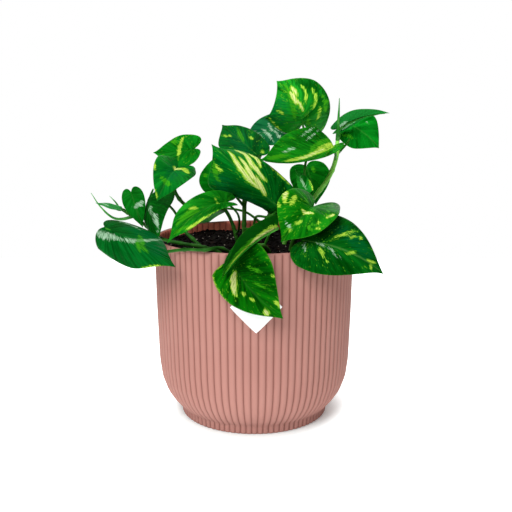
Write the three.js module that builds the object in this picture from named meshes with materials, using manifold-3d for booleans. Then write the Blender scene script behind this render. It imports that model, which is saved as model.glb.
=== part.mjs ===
// A golden pothos in a ribbed plastic pot, in millimetres, +Z up.
// The origin is the centre of the pot's flat base. -Y is the front.
import * as THREE from "three";
import { mergeVertices } from "three/addons/utils/BufferGeometryUtils.js";
import Module from "manifold-3d";

const wasm = await Module();
wasm.setup();

// Pot: an 18 cm plastic pot with upright ribs all round.
const potHeight = 164.5;
const ribCount = 86;
const ribDepth = 1.2;
const innerRibDepth = 0.8;
// Turn of the ribs about the pot's axis, in degrees.
const ribTurn = 2.52;
const wall = 3.2;
const floorThickness = 4;
const ribbedLipBelowSoil = 16;
// Radius of the rib crests at each height, from the base up.
const crestProfile = [
  [0, 67.6], [8.5, 68], [10, 70.6], [15, 75.4], [24, 81.4], [36, 85.7], [52, 87.8], [100, 89.3], [162.8, 90.4],
];
const rimRound = 1.2;

// Potting mix that fills the pot to a little below its rim.
const soilTop = 156;
const fitGap = 0.3;
const humpHeight = 0.9;
const soilRows = 4;
const soilSegments = 40;

// Square card that lies on the front of the pot, standing on one corner.
const labelSide = 31;
const labelThickness = 0.6;
const labelHeight = 120;
const labelOffset = 2;
const labelCells = 6;

// Vines, from the end that is buried in the soil to the growing tip.
const vineRadius = 2.1;
const vineSides = 7;
const vineSpacing = 7;
// Each third ring of a vine is a knuckle. The clearance is measured at a faceted stem's corners.
const knuckle = 0.4;
const knuckleEvery = 3;
const stemClearance = 0.4;
const vines = {
  right: [[26, 2, 138], [28, 2, 157], [40, 1, 178], [53, 0, 197], [68, 2, 218], [74, 2, 236], [75, 6, 250]],
  middle: [[-8, 8, 138], [-9, 8, 158], [-9, 8, 178], [-8, 10, 200], [-2, 16, 222], [6, 20, 236]],
  left: [[-14, -6, 138], [-15, -6, 157], [-20, -5, 177], [-28, -6, 190], [-44.5, -9, 192.5], [-59.5, -14, 193.5],
    [-68.5, -19, 204.5], [-70.5, -22, 215]],
  lowLeft: [[-24, -50, 138], [-28, -51, 157], [-45, -52, 163.5], [-58, -51, 165.5], [-75, -46, 168],
    [-86, -37, 170.5], [-94, -27, 177], [-107, -24, 186], [-119, -22, 193]],
  overRim: [[-18, -60, 138], [-18, -61, 157], [-24, -70, 164.5], [-31, -79, 167.6], [-37.5, -85.5, 167.2],
    [-46, -82, 166.4], [-54, -76, 165.6], [-64, -68.5, 163.4], [-74, -62, 161], [-84, -58, 161],
    [-94, -47, 166], [-104, -37, 173]],
  rimLeft: [[-40, -42, 138], [-42, -42, 157], [-51, -38, 165.8], [-59, -35, 173], [-64.5, -31, 181.5]],
  front: [[14, -46, 138], [13, -50, 157], [9, -60, 165], [2, -72, 168]],
  frontRight: [[32, -34, 138], [32, -37, 157], [35, -46, 170], [42, -56, 180]],
  back: [[6, 44, 138], [6, 46, 157], [14, 52, 174], [26, 58, 188]],
};

const thinVines = { left: 1.7, lowLeft: 1.6, overRim: 1.5, rimLeft: 1.6 };

// Leaves. `on` and `at` say where the leaf stalk leaves its vine, `via` what it passes.
// `collar` is where the stalk meets the blade, and `face` is where the upper side looks.
const leafThickness = 1.2;
const leafRows = 8;
const leafColumns = 2;
const stalkSides = 5;
const stalkSpacing = 9;
const stalkFootRadius = 1.5;
const stalkCollarRadius = 1.15;
const stalkTipRadius = 0.55;
// The stalk goes on as a rib under the blade: shares of the midrib, and depths below it.
const ribUnderBlade = [[0.01, 0.9], [0.2, 0.8], [0.45, 0.6]];
// Rows of the blade crowd towards the collar by this power, and its edge ripples this often.
const rowPower = 1.25;
const ripples = 17;
const leaves = {
  top: { on: "right", at: 0.48, via: [[46, 8, 222], [49, 17, 240], [46, 15, 256]],
    collar: [44, 9, 265], tip: [20, 4, 302], face: [0, -0.95, 0.4],
    width: 62, skew: 0.1, full: 0.28, arch: 13, fold: [-34, 30], curl: [17, 12], lobe: [1.7, 2.6], wave: 1 },
  topFolded: { on: "right", at: 0.86, via: [[72, -10, 238]],
    collar: [69, -20, 246.5], tip: [4.5, -51, 237], face: [-0.1, -0.22, 0.96],
    width: 50, skew: -0.3, full: 0.19, arch: -7, fold: [10, 33], curl: [4, 3], lobe: [0.6, 0.2], wave: 0.8 },
  rightSide: { on: "right", at: 0.97, via: [[78, 16, 254]],
    collar: [77, 28, 259], tip: [124, 23.5, 273.5], face: [0, 0.37, 1],
    width: 36, full: 0, arch: 4.5, fold: [14, 16], curl: [20, 18], lobe: [0.8, 0.8], wave: 0.6 },
  backRight: { on: "right", at: 0.9, via: [[80, 22, 240], [90, 42, 250]],
    collar: [90, 52, 263], tip: [119, 48, 240], face: [0.3, -0.9, 0.4],
    width: 44, full: 0.1, arch: 4, fold: [10, 10], curl: [20, 20], lobe: [0.8, 0.8], wave: 0.8 },
  crown: { on: "middle", at: 1, via: [[10, 26, 242], [22, 36, 254]],
    collar: [32.5, 42, 261.5], tip: [-11, 34, 244.5], face: [-0.1, -0.8, 0.7],
    width: 39, full: 0.05, arch: 4, fold: [10, 10], curl: [20, 20], lobe: [0.8, 0.8], wave: 1 },
  crownLeft: { on: "middle", at: 0.8, via: [[4, 4, 229]],
    collar: [3, -9, 237.5], tip: [-29.5, 24, 263], face: [0, -0.77, 0.65],
    width: 38, skew: 0.13, full: 0.29, arch: 1, fold: [12, 10], curl: [20, 20], lobe: [0.8, 0.7], wave: 1 },
  central: { on: "middle", at: 0.3, via: [[-1, -6, 172], [2, -18, 184], [13, -33, 186.5]],
    collar: [21.5, -44, 194], tip: [-35, -54.5, 250], face: [-0.2, -1, 0.4], width: 69, skew: 0.19,
    full: 0.54, arch: 9.5, fold: [-28, -29], curl: [56, 28], twist: 45, lobe: [1.4, 0.2], wave: 1 },
  behindCentral: { on: "middle", at: 0.5, via: [[-19, -4, 203]],
    collar: [-26.5, -11.5, 208.5], tip: [-28, -1, 240], face: [-0.3, -0.9, 0.2],
    width: 46, full: 0.1, arch: 2.5, fold: [8, 8], curl: [20, 20], lobe: [1, 1], wave: 0.8 },
  lance: { on: "left", at: 0.25, via: [[-13.5, -20, 172.5], [-14, -46, 191]],
    collar: [-22.4, -58.5, 202.4], tip: [-69.7, -87, 172.6], face: [-0.06, -0.79, 0.54],
    width: 26, full: 0.4, arch: 14.5, fold: [31, 20], curl: [5, 16], lobe: [0.4, 1.6], wave: 0.8 },
  leftTop: { on: "left", at: 1, via: [[-62, -15, 228], [-54, -13, 238]],
    collar: [-51.5, -18, 244], tip: [-89, -10, 240], face: [-0.1, -0.82, 0.6],
    width: 31, skew: 0.05, full: 0.19, arch: -3.5, fold: [8, 22], curl: [17, 9], lobe: [1.4, 1.5], wave: 0.8 },
  leftMiddle: { on: "left", at: 0.93, via: [[-66, -32, 221]],
    collar: [-64.5, -42.5, 229.5], tip: [-80.5, -59, 203], face: [0.1, -0.93, 0.5],
    width: 36.5, skew: 0.03, full: -0.08, arch: 9.5, fold: [26, 23], curl: [16, 16], lobe: [1.4, 1.6], wave: 0.8 },
  leftHanging: { on: "rimLeft", at: 1, via: [[-70, -26, 190.5], [-80, -21, 199]],
    collar: [-88.6, -23.5, 204.9], tip: [-80.1, -56, 165.8], face: [-0.47, -0.81, 0.23],
    width: 35, skew: 0.26, full: -0.1, arch: 7.5, fold: [-6, -8], curl: [26, 37], lobe: [1, 1.8], wave: 0.8 },
  lowLeft: { on: "overRim", at: 1, via: [[-115, -36, 178.5]],
    collar: [-126.4, -51.3, 180.4], tip: [-62.4, -93.3, 154.3], face: [-0.33, -0.72, 0.66],
    width: 50, skew: 0.09, full: 0.25, arch: 7, fold: [-33, -14], curl: [25, 31], lobe: [1.1, 0.7], wave: 0.8 },
  outerLeft: { on: "lowLeft", at: 0.8, via: [[-106, -22, 200]],
    collar: [-106.5, -28.4, 207.4], tip: [-95.1, -41.9, 178], face: [0, -1, 0.3],
    width: 20, full: 0, arch: 3.5, fold: [7, 3], curl: [20, 20], lobe: [0.9, 1.1], wave: 0.5 },
  outerLance: { on: "lowLeft", at: 0.95, via: [[-114, -27, 192]],
    collar: [-115.5, -31, 192.5], tip: [-136.5, -34.5, 198.5], face: [0, -0.4, 1],
    width: 9, full: 0.1, arch: 0, fold: [14, 14], curl: [10, 10], lobe: [0.3, 0.3], wave: 0.3 },
  frontHanging: { on: "front", at: 1, via: [[-9, -86, 169.5]],
    collar: [-18.5, -93.5, 160], tip: [23.5, -106.5, 115.5], face: [0, -0.84, -0.24],
    width: 52, skew: 0.12, full: -0.03, arch: 10.5, fold: [5, 15], curl: [20, 22], lobe: [0.7, 0.2], wave: 0.8 },
  frontFolded: { on: "front", at: 0.72, via: [[14, -68, 179]],
    collar: [18.8, -89.4, 186.2], tip: [-24.2, -131.3, 153.7], face: [-0.96, 0, 0.48],
    width: 31, skew: -0.07, full: 0.23, arch: 4.5, fold: [41, 42], curl: [9, 11], lobe: [0.2, 0], wave: 0.5 },
  frontSpotted: { on: "frontRight", at: 1, via: [[48, -54, 190]],
    collar: [49.5, -61, 199], tip: [22, -84, 173], face: [0.17, -0.93, 0.64],
    width: 51, skew: 0.04, full: 0.22, arch: 10, fold: [33, 14], curl: [5, 18], lobe: [3.2, 2.1], wave: 0.8 },
  rightLow: { on: "frontRight", at: 0.6, via: [[40, -67, 177]],
    collar: [39, -82.3, 174.1], tip: [105.6, -83.2, 146.5], face: [0.3, -0.79, 0.62],
    width: 60, skew: 0.17, full: 0.06, arch: 11, fold: [1, -9], curl: [19, 23], lobe: [1, 0.7], wave: 0.8 },
  backDark: { on: "back", at: 1, via: [[40, 44, 206]],
    collar: [49, 34.5, 224], tip: [58, 25, 189], face: [0.2, -1, 0.2],
    width: 39, skew: 0.03, full: 0.1, arch: 4, fold: [8, 8], curl: [20, 20], lobe: [0.8, 0.8], wave: 0.8 },
  smallCurled: { on: "right", at: 0.4, via: [[47, -12, 200]],
    collar: [46, -20, 206], tip: [36, -18, 226], face: [0.2, -1, 0.4],
    width: 15, full: 0, arch: 1, fold: [35, 35], curl: [10, 10], lobe: [0.4, 0.4], wave: 0.3 },
  backOverRim: { on: "back", at: 0.8, via: [[40, 60, 184]],
    collar: [54, 70, 179], tip: [80, 112, 138], face: [0.5, 0.7, 0.6],
    width: 46, full: 0.1, arch: 8, fold: [6, 6], curl: [25, 25], lobe: [1, 1], wave: 0.8 },
  backLeft: { on: "back", at: 0.5, via: [[-10, 58, 178], [-34, 62, 180]],
    collar: [-44, 66, 177], tip: [-72, 106, 136], face: [-0.5, 0.7, 0.6],
    width: 42, full: 0.1, arch: 8, fold: [6, 6], curl: [25, 25], lobe: [1, 1], wave: 0.8 },
  backRightLow: { on: "back", at: 0.6, via: [[34, 50, 173], [54, 44, 174]],
    collar: [68, 44, 174], tip: [110, 64, 148], face: [0.3, 0.2, 1],
    width: 42, full: 0.1, arch: 5, fold: [6, 6], curl: [25, 25], lobe: [1, 1], wave: 0.8 },
  backMiddle: { on: "middle", at: 0.55, via: [[2, 20, 204]],
    collar: [10, 28, 208], tip: [30, 52, 178], face: [0.4, 0.8, 0.4],
    width: 40, full: 0.12, arch: 5, fold: [8, 8], curl: [25, 25], lobe: [1, 1], wave: 0.8 },
  backUpright: { on: "back", at: 0.7, via: [[8, 62, 196]],
    collar: [-2, 64, 205], tip: [-30, 84, 236], face: [-0.2, 0.9, 0.5],
    width: 46, full: 0.12, arch: 5, fold: [8, 8], curl: [25, 25], lobe: [1, 1], wave: 0.8 },
};

// Young leaves, still rolled up: from the foot on the vine to the point.
const rolledLeaves = {
  top: { on: "right", at: 1, points: [[75, 4, 258], [75.5, 4, 272], [76, 6, 287]], radius: 1.8 },
  left: { on: "lowLeft", at: 0.88, points: [[-115.5, -25, 183], [-123.5, -26, 184.5], [-134, -26, 194], [-142, -25, 206]],
    radius: 1.4 },
  small: { on: "lowLeft", at: 1, points: [[-121, -22, 197], [-126.5, -22, 203]], radius: 0.9 },
};

const green = new THREE.MeshStandardMaterial({ color: 0x16801d, roughness: 0.35, metalness: 0 });
const paleGreen = new THREE.MeshStandardMaterial({ color: 0x5c9c3a, roughness: 0.5, metalness: 0 });
const pink = new THREE.MeshStandardMaterial({ color: 0xc98d83, roughness: 0.75, metalness: 0 });
const darkSoil = new THREE.MeshStandardMaterial({ color: 0x1d1512, roughness: 1, metalness: 0 });
const white = new THREE.MeshStandardMaterial({ color: 0xf4f4f2, roughness: 0.6, metalness: 0 });

const vector = (p) => new THREE.Vector3(...p);

// A closed geometry as a solid, without normals and without triangles of no area.
function solid(geometry) {
  const bare = new THREE.BufferGeometry();
  bare.setAttribute("position", geometry.getAttribute("position"));
  bare.setIndex(geometry.index);
  const merged = mergeVertices(bare, 1e-4);
  const triangles = [];
  for (let i = 0; i < merged.index.count; i += 3) {
    const [a, b, c] = [0, 1, 2].map((k) => merged.index.getX(i + k));
    if (a !== b && b !== c && c !== a) triangles.push(a, b, c);
  }
  const vertProperties = new Float32Array(merged.getAttribute("position").array);
  const triVerts = new Uint32Array(triangles);
  return new wasm.Manifold(new wasm.Mesh({ numProp: 3, vertProperties, triVerts }));
}

function namedMesh(name, body, material) {
  const { vertProperties, triVerts } = body.getMesh();
  const geometry = new THREE.BufferGeometry();
  geometry.setAttribute("position", new THREE.Float32BufferAttribute(vertProperties, 3));
  geometry.setIndex(new THREE.Uint32BufferAttribute(triVerts, 1));
  geometry.computeVertexNormals();
  const mesh = new THREE.Mesh(geometry, material);
  mesh.name = name;
  return mesh;
}

// A closed sheet between two grids of points, split into triangles alike on both faces.
function sheet(upper, lower) {
  const rows = upper.length;
  const columns = upper[0].length;
  const top = (i, j) => i * columns + j;
  const under = (i, j) => rows * columns + i * columns + j;
  const index = [];
  const quad = (a, b, c, d) => index.push(a, c, b, a, d, c);
  for (let i = 0; i < rows - 1; i += 1) {
    for (let j = 0; j < columns - 1; j += 1) {
      const leftHalf = j < (columns - 1) / 2;
      const corners = [[i, j], [i + 1, j], [i + 1, j + 1], [i, j + 1]];
      const ring = leftHalf ? [...corners.slice(1), corners[0]] : corners;
      quad(...ring.map(([row, column]) => top(row, column)));
      const [a, b, c, d] = ring.map(([row, column]) => under(row, column));
      index.push(a, b, c, a, c, d);
    }
    quad(top(i, 0), under(i, 0), under(i + 1, 0), top(i + 1, 0));
    quad(top(i + 1, columns - 1), under(i + 1, columns - 1), under(i, columns - 1), top(i, columns - 1));
  }
  for (let j = 0; j < columns - 1; j += 1) {
    quad(top(0, j + 1), under(0, j + 1), under(0, j), top(0, j));
    quad(top(rows - 1, j), under(rows - 1, j), under(rows - 1, j + 1), top(rows - 1, j + 1));
  }
  const geometry = new THREE.BufferGeometry();
  const positions = [...upper.flat(), ...lower.flat()].flatMap((p) => p.toArray());
  geometry.setAttribute("position", new THREE.Float32BufferAttribute(positions, 3));
  geometry.setIndex(index);
  return solid(geometry);
}

// A round stem along a curve, with a radius that changes from 0 to 1 along it.
function stem(curve, radiusAt, sides, spacing) {
  const steps = Math.max(2, Math.round(curve.getLength() / spacing));
  const frames = curve.computeFrenetFrames(steps);
  const points = [curve.getPointAt(0)];
  for (let k = 0; k <= steps; k += 1) {
    const centre = curve.getPointAt(k / steps);
    for (let i = 0; i < sides; i += 1) {
      const turn = (2 * Math.PI * i) / sides;
      const out = frames.normals[k].clone().multiplyScalar(Math.cos(turn));
      out.addScaledVector(frames.binormals[k], Math.sin(turn));
      points.push(centre.clone().addScaledVector(out, radiusAt(k / steps, k)));
    }
  }
  points.push(curve.getPointAt(1));
  const index = [];
  const at = (k, i) => 1 + k * sides + (i % sides);
  for (let i = 0; i < sides; i += 1) {
    index.push(0, at(0, i + 1), at(0, i));
    for (let k = 0; k < steps; k += 1) {
      index.push(at(k, i), at(k, i + 1), at(k + 1, i + 1), at(k, i), at(k + 1, i + 1), at(k + 1, i));
    }
    index.push(points.length - 1, at(steps, i), at(steps, i + 1));
  }
  const geometry = new THREE.BufferGeometry();
  const positions = points.flatMap((p) => p.toArray());
  geometry.setAttribute("position", new THREE.Float32BufferAttribute(positions, 3));
  geometry.setIndex(index);
  return solid(geometry);
}

function crestRadius(z) {
  const above = crestProfile.findIndex(([height]) => height >= z);
  if (above === 0) return crestProfile[0][1];
  if (above < 0) return crestProfile.at(-1)[1];
  const [z0, r0] = crestProfile[above - 1];
  const [z1, r1] = crestProfile[above];
  return r0 + ((r1 - r0) * (z - z0)) / (z1 - z0);
}

// A turned body whose radius is drawn in at each rib by depth times a falling cosine.
function turned(profile, segments, depth = 0) {
  const lathe = new THREE.LatheGeometry(profile.map(([r, z]) => new THREE.Vector2(r, z)), segments);
  lathe.rotateX(Math.PI / 2);
  lathe.rotateZ(depth === 0 ? 0 : THREE.MathUtils.degToRad(ribTurn));
  const position = lathe.getAttribute("position");
  for (let i = 0; i < position.count; i += 1) {
    const [x, y, z] = [position.getX(i), position.getY(i), position.getZ(i)];
    const radius = Math.hypot(x, y);
    if (radius < 1 || depth === 0) continue;
    const groove = Math.max(0, Math.cos(ribCount * (Math.atan2(x, -y) - THREE.MathUtils.degToRad(ribTurn))));
    const scale = (radius - depth * groove) / radius;
    position.setXYZ(i, x * scale, y * scale, z);
  }
  return solid(lathe);
}

// The cavity's radius, which follows the outside at one wall's thickness.
const cavityRadius = (z) => crestRadius(z) - ribDepth - wall + innerRibDepth;

function cavityProfile(bottom, top, inset) {
  const heights = crestProfile.map(([z]) => z).filter((z) => z > bottom + 4 && z < top - 4);
  const side = [bottom, ...heights, top].map((z) => [cavityRadius(z) - inset, z]);
  return [[0, bottom], ...side, [0, top]];
}

function pot() {
  const rimRadius = crestProfile.at(-1)[1];
  const outside = [
    [0, 0],
    ...crestProfile.map(([z, r]) => [r, z]),
    [rimRadius - rimRound, potHeight],
    [0, potHeight],
  ];
  const ribsFrom = soilTop - ribbedLipBelowSoil;
  const mouth = [
    [0, ribsFrom],
    [cavityRadius(ribsFrom) + innerRibDepth, ribsFrom],
    [cavityRadius(potHeight) + innerRibDepth, potHeight + 1],
    [0, potHeight + 1],
  ];
  return turned(outside, ribCount * 2, ribDepth)
    .subtract(turned(cavityProfile(floorThickness, ribsFrom + 1, 0), soilSegments))
    .subtract(turned(mouth, ribCount * 2, innerRibDepth));
}

// Gentle humps in the surface of the potting mix.
const hump = (x, y) =>
  humpHeight * (Math.sin(x / 9 + 1) * Math.cos(y / 11) + 0.5 * Math.sin((x + 2 * y) / 13));

function soil(vineBodies) {
  const side = cavityProfile(floorThickness + fitGap, soilTop - 2, fitGap + 0.2).slice(0, -1);
  const edge = side.at(-1)[0];
  const top = Array.from({ length: soilRows }, (_, i) => [edge * (1 - i / soilRows), soilTop]);
  const body = turned([...side, ...top, [0, soilTop]], soilSegments).warp((point) => {
    if (point[2] > soilTop - 1) point[2] += hump(point[0], point[1]);
  });
  return Object.values(vineBodies).reduce((rest, vine) => rest.subtract(vine.socket), body);
}

function label() {
  const half = labelSide / Math.SQRT2;
  const grid = (lift) => Array.from({ length: labelCells + 1 }, (_, i) =>
    Array.from({ length: labelCells + 1 }, (_, j) => {
      const across = (half * (i + j - labelCells)) / labelCells;
      const z = labelHeight + (half * (i - j)) / labelCells;
      const radius = crestRadius(z) + fitGap + lift;
      const turn = (labelOffset + across) / radius;
      return new THREE.Vector3(radius * Math.sin(turn), -radius * Math.cos(turn), z);
    }));
  return sheet(grid(labelThickness), grid(0));
}

// The vine and the same vine with the fit gap round it.
function vine(points, thickness) {
  const curve = new THREE.CatmullRomCurve3(points.map(vector), false, "centripetal");
  const radius = (t, k) =>
    (thickness + (k % knuckleEvery === 2 ? knuckle : 0)) * Math.min(1, 4 * (1.2 - t));
  const body = stem(curve, radius, vineSides, vineSpacing);
  const socket = stem(curve, (t, k) => radius(t, k) + stemClearance, vineSides, vineSpacing);
  return { curve, body, socket };
}

// Half of a heart-shaped leaf's outline: along the midrib, and out from it.
const outline = new THREE.SplineCurve([
  [0, 0], [-0.09, 0.16], [-0.13, 0.4], [-0.09, 0.68], [0.03, 0.9], [0.2, 1], [0.4, 0.93],
  [0.58, 0.72], [0.74, 0.46], [0.87, 0.21], [0.95, 0.07], [1, 0],
].map(([along, out]) => new THREE.Vector2(along, out)));

function bladeAxes(leaf) {
  const collar = vector(leaf.collar);
  const axis = vector(leaf.tip).sub(collar);
  const length = axis.length();
  axis.normalize();
  const up = vector(leaf.face);
  up.addScaledVector(axis, -up.dot(axis)).normalize();
  const side = axis.clone().cross(up);
  return { collar, axis, length, up, side };
}

// The midrib's point, upward direction and right-hand direction at a share of its length.
function midribAt(leaf, share) {
  const { collar, axis, length, up, side } = bladeAxes(leaf);
  const bow = share > 0 ? 4 * share * (1 - share) : 4 * share;
  const slope = share > 0 ? 4 - 8 * share : 4;
  const point = collar.addScaledVector(axis, length * share).addScaledVector(up, leaf.arch * bow);
  point.addScaledVector(side, (leaf.sweep ?? 0) * bow);
  const along = axis.clone().multiplyScalar(length).addScaledVector(up, leaf.arch * slope);
  along.addScaledVector(side, (leaf.sweep ?? 0) * slope).normalize();
  const twist = THREE.MathUtils.degToRad(leaf.twist ?? 0) * (share - 0.5);
  const normal = up.clone().applyAxisAngle(axis, twist);
  normal.addScaledVector(along, -normal.dot(along)).normalize();
  return { point, normal, right: along.clone().cross(normal) };
}

// A point of the blade. `row` runs from collar to tip, `across` from -1 at the left to 1.
function bladePoint(leaf, row, across, lift) {
  const edge = outline.getPoint(row);
  const hand = across < 0 ? -1 : 1;
  const handed = across < 0 ? 0 : 1;
  edge.x = edge.x < 0 ? edge.x * leaf.lobe[handed] : edge.x + leaf.full * 4 * edge.x * (1 - edge.x) ** 2;
  const out = Math.abs(across);
  const middle = row ** rowPower;
  const share = middle + (edge.x - middle) * out;
  const { point, normal, right } = midribAt(leaf, share);
  const half = (leaf.width / 2) * (1 - hand * (leaf.skew ?? 0));
  const bend = THREE.MathUtils.degToRad(leaf.curl[handed]) / half;
  const start = THREE.MathUtils.degToRad(leaf.fold[handed]);
  const reach = half * edge.y * out;
  const end = start - bend * reach;
  point.addScaledVector(right, (hand * (Math.sin(start) - Math.sin(end))) / bend);
  point.addScaledVector(normal, (Math.cos(end) - Math.cos(start)) / bend);
  point.addScaledVector(normal, leaf.wave * Math.sin(row * ripples + hand + leaf.width) * out * out * edge.y);
  const tilt = across === 0 || edge.y < 0.001 ? 0 : end;
  point.addScaledVector(normal, lift * Math.cos(tilt));
  return point.addScaledVector(right, -hand * lift * Math.sin(tilt));
}

function blade(leaf) {
  const grid = (lift) => Array.from({ length: leafRows + 1 }, (_, i) =>
    Array.from({ length: 2 * leafColumns + 1 }, (_, j) =>
      bladePoint(leaf, i / leafRows, (j - leafColumns) / leafColumns, lift)));
  return sheet(grid(leafThickness / 2), grid(-leafThickness / 2));
}

// The stalk from its vine to the collar, and on as the rib under the blade.
function stalk(leaf, vineCurve) {
  const rib = ribUnderBlade.map(([share, drop]) => {
    const { point, normal } = midribAt(leaf, share);
    return point.addScaledVector(normal, -drop);
  });
  const points = [vineCurve.getPointAt(leaf.at), ...leaf.via.map(vector), ...rib];
  const curve = new THREE.CatmullRomCurve3(points, false, "centripetal");
  const ribLength = ribUnderBlade.at(-1)[0] * bladeAxes(leaf).length;
  const collarShare = 1 - ribLength / curve.getLength();
  const radius = (t) => (t < collarShare
    ? THREE.MathUtils.lerp(stalkFootRadius, stalkCollarRadius, t / collarShare)
    : THREE.MathUtils.lerp(stalkCollarRadius, stalkTipRadius, (t - collarShare) / (1 - collarShare)));
  return stem(curve, radius, stalkSides, stalkSpacing);
}

function rolledLeaf(rolled, vineCurve) {
  const points = [vineCurve.getPointAt(rolled.at), ...rolled.points.map(vector)];
  const curve = new THREE.CatmullRomCurve3(points, false, "centripetal");
  return stem(curve, (t) => rolled.radius * (1.15 - t), stalkSides, stalkSpacing);
}

const spaced = (name) => name.replace(/[A-Z]/g, (letter) => `_${letter.toLowerCase()}`);

const vineBodies = Object.fromEntries(Object.entries(vines).map(([name, points]) =>
  [name, vine(points, thinVines[name] ?? vineRadius)]));
const plant = new THREE.Group();
for (const [name, { body }] of Object.entries(vineBodies)) {
  plant.add(namedMesh(`vine_${spaced(name)}`, body, paleGreen));
}
for (const [name, leaf] of Object.entries(leaves)) {
  const { curve, socket } = vineBodies[leaf.on];
  plant.add(namedMesh(`leaf_${spaced(name)}`, blade(leaf).add(stalk(leaf, curve)).subtract(socket), green));
}
for (const [name, rolled] of Object.entries(rolledLeaves)) {
  const { curve, socket } = vineBodies[rolled.on];
  plant.add(namedMesh(`rolled_leaf_${spaced(name)}`, rolledLeaf(rolled, curve).subtract(socket), paleGreen));
}

const pottedPothos = new THREE.Group();
pottedPothos.add(
  namedMesh("pot", pot(), pink),
  namedMesh("soil", soil(vineBodies), darkSoil),
  namedMesh("label", label(), white),
  plant,
);

export default pottedPothos;
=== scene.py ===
# A golden pothos in a ribbed pot: fine leaves, vines, pot, potting mix and card.
import math
import random

import bmesh
import bpy
import numpy as np
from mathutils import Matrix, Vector, noise


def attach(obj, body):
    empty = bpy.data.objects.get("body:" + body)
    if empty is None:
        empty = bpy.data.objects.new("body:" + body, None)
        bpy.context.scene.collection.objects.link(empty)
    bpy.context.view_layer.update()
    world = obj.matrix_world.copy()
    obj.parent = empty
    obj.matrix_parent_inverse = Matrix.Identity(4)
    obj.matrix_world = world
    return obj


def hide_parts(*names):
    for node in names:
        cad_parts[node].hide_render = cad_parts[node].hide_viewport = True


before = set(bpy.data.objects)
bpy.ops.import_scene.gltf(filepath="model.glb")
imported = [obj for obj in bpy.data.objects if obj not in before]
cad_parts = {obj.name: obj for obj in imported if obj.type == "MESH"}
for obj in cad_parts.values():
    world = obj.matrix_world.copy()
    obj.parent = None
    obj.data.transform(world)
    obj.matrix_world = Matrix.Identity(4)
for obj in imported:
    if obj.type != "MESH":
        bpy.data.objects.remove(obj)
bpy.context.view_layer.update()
mm = 0.001  # the tables below are in millimetres, and every piece is made in metres
print("frame loaded:", len(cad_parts), "nodes")


# Shader helpers

def connect(tree, made, inputs):  # each input gets a link or a plain value
    for key, value in inputs.items():
        if isinstance(value, bpy.types.NodeSocket):
            tree.links.new(value, made.inputs[key])
        else:
            made.inputs[key].default_value = value


def addNode(tree, kind, inputs=None, **settings):
    made = tree.nodes.new(kind)
    for key, value in settings.items():
        setattr(made, key, value)
    connect(tree, made, inputs or {})
    return made


def useGroup(tree, group, **inputs):
    return addNode(tree, "ShaderNodeGroup", inputs, node_tree=group).outputs


def maths(tree, operation, *values):
    return addNode(tree, "ShaderNodeMath", dict(enumerate(values)), operation=operation).outputs[0]


def remap(tree, value, low, high, toLow=0.0, toHigh=1.0):
    values = dict(enumerate((value, low, high, toLow, toHigh)))
    return addNode(tree, "ShaderNodeMapRange", values, interpolation_type="SMOOTHSTEP").outputs[0]


def mixColour(tree, share, first, second):
    return addNode(tree, "ShaderNodeMix", {0: share, 6: first, 7: second}, data_type="RGBA").outputs[2]


def noiseAt(tree, place, scale, detail=2.0):
    return addNode(tree, "ShaderNodeTexNoise", {"Vector": place, "Scale": scale, "Detail": detail}).outputs[0]


def splitXyz(tree, vector):
    return addNode(tree, "ShaderNodeSeparateXYZ", {0: vector}).outputs


def joinXyz(tree, *values):
    return addNode(tree, "ShaderNodeCombineXYZ", dict(enumerate(values))).outputs[0]


def readAttribute(tree, name, kind="Fac"):
    return addNode(tree, "ShaderNodeAttribute", attribute_name=name).outputs[kind]


def objectPlace(tree):
    return addNode(tree, "ShaderNodeTexCoord").outputs["Object"]


def bump(tree, height, strength, distance):
    values = {"Strength": strength, "Distance": distance, "Height": height}
    return addNode(tree, "ShaderNodeBump", values).outputs[0]


def makeGroup(name, inputs, outputs):
    tree = bpy.data.node_groups.new(name, "ShaderNodeTree")
    for label, value in inputs.items():
        kind = "NodeSocketVector" if value is None else "NodeSocketFloat"
        socket = tree.interface.new_socket(name=label, in_out="INPUT", socket_type=kind)
        if value is not None:
            socket.default_value = value
    for label in outputs:
        tree.interface.new_socket(name=label, in_out="OUTPUT", socket_type="NodeSocketFloat")
    return tree, tree.nodes.new("NodeGroupInput").outputs, tree.nodes.new("NodeGroupOutput")


def newMaterial(name):
    material = bpy.data.materials.new(name)
    material.use_nodes = True
    tree = material.node_tree
    tree.nodes.clear()
    surface = tree.nodes.new("ShaderNodeBsdfPrincipled")
    tree.links.new(surface.outputs[0], tree.nodes.new("ShaderNodeOutputMaterial").inputs[0])
    return material, tree, surface


def rgb(red, green, blue):  # a screen colour, 0 to 255, as the shader wants it
    def linear(value):
        value /= 255
        return value / 12.92 if value <= 0.04045 else ((value + 0.055) / 1.055) ** 2.4
    return (linear(red), linear(green), linear(blue), 1.0)


# Effects that several materials share

def veinNoise(tree, along, reach, seed, acrossVeins, alongVeins):
    # Noise drawn out along the side veins. The last two say how fast it changes across and along them.
    across = maths(tree, "MULTIPLY", along, acrossVeins)
    return noiseAt(tree, joinXyz(tree, across, maths(tree, "MULTIPLY", reach, alongVeins), seed), 1.0)


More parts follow.
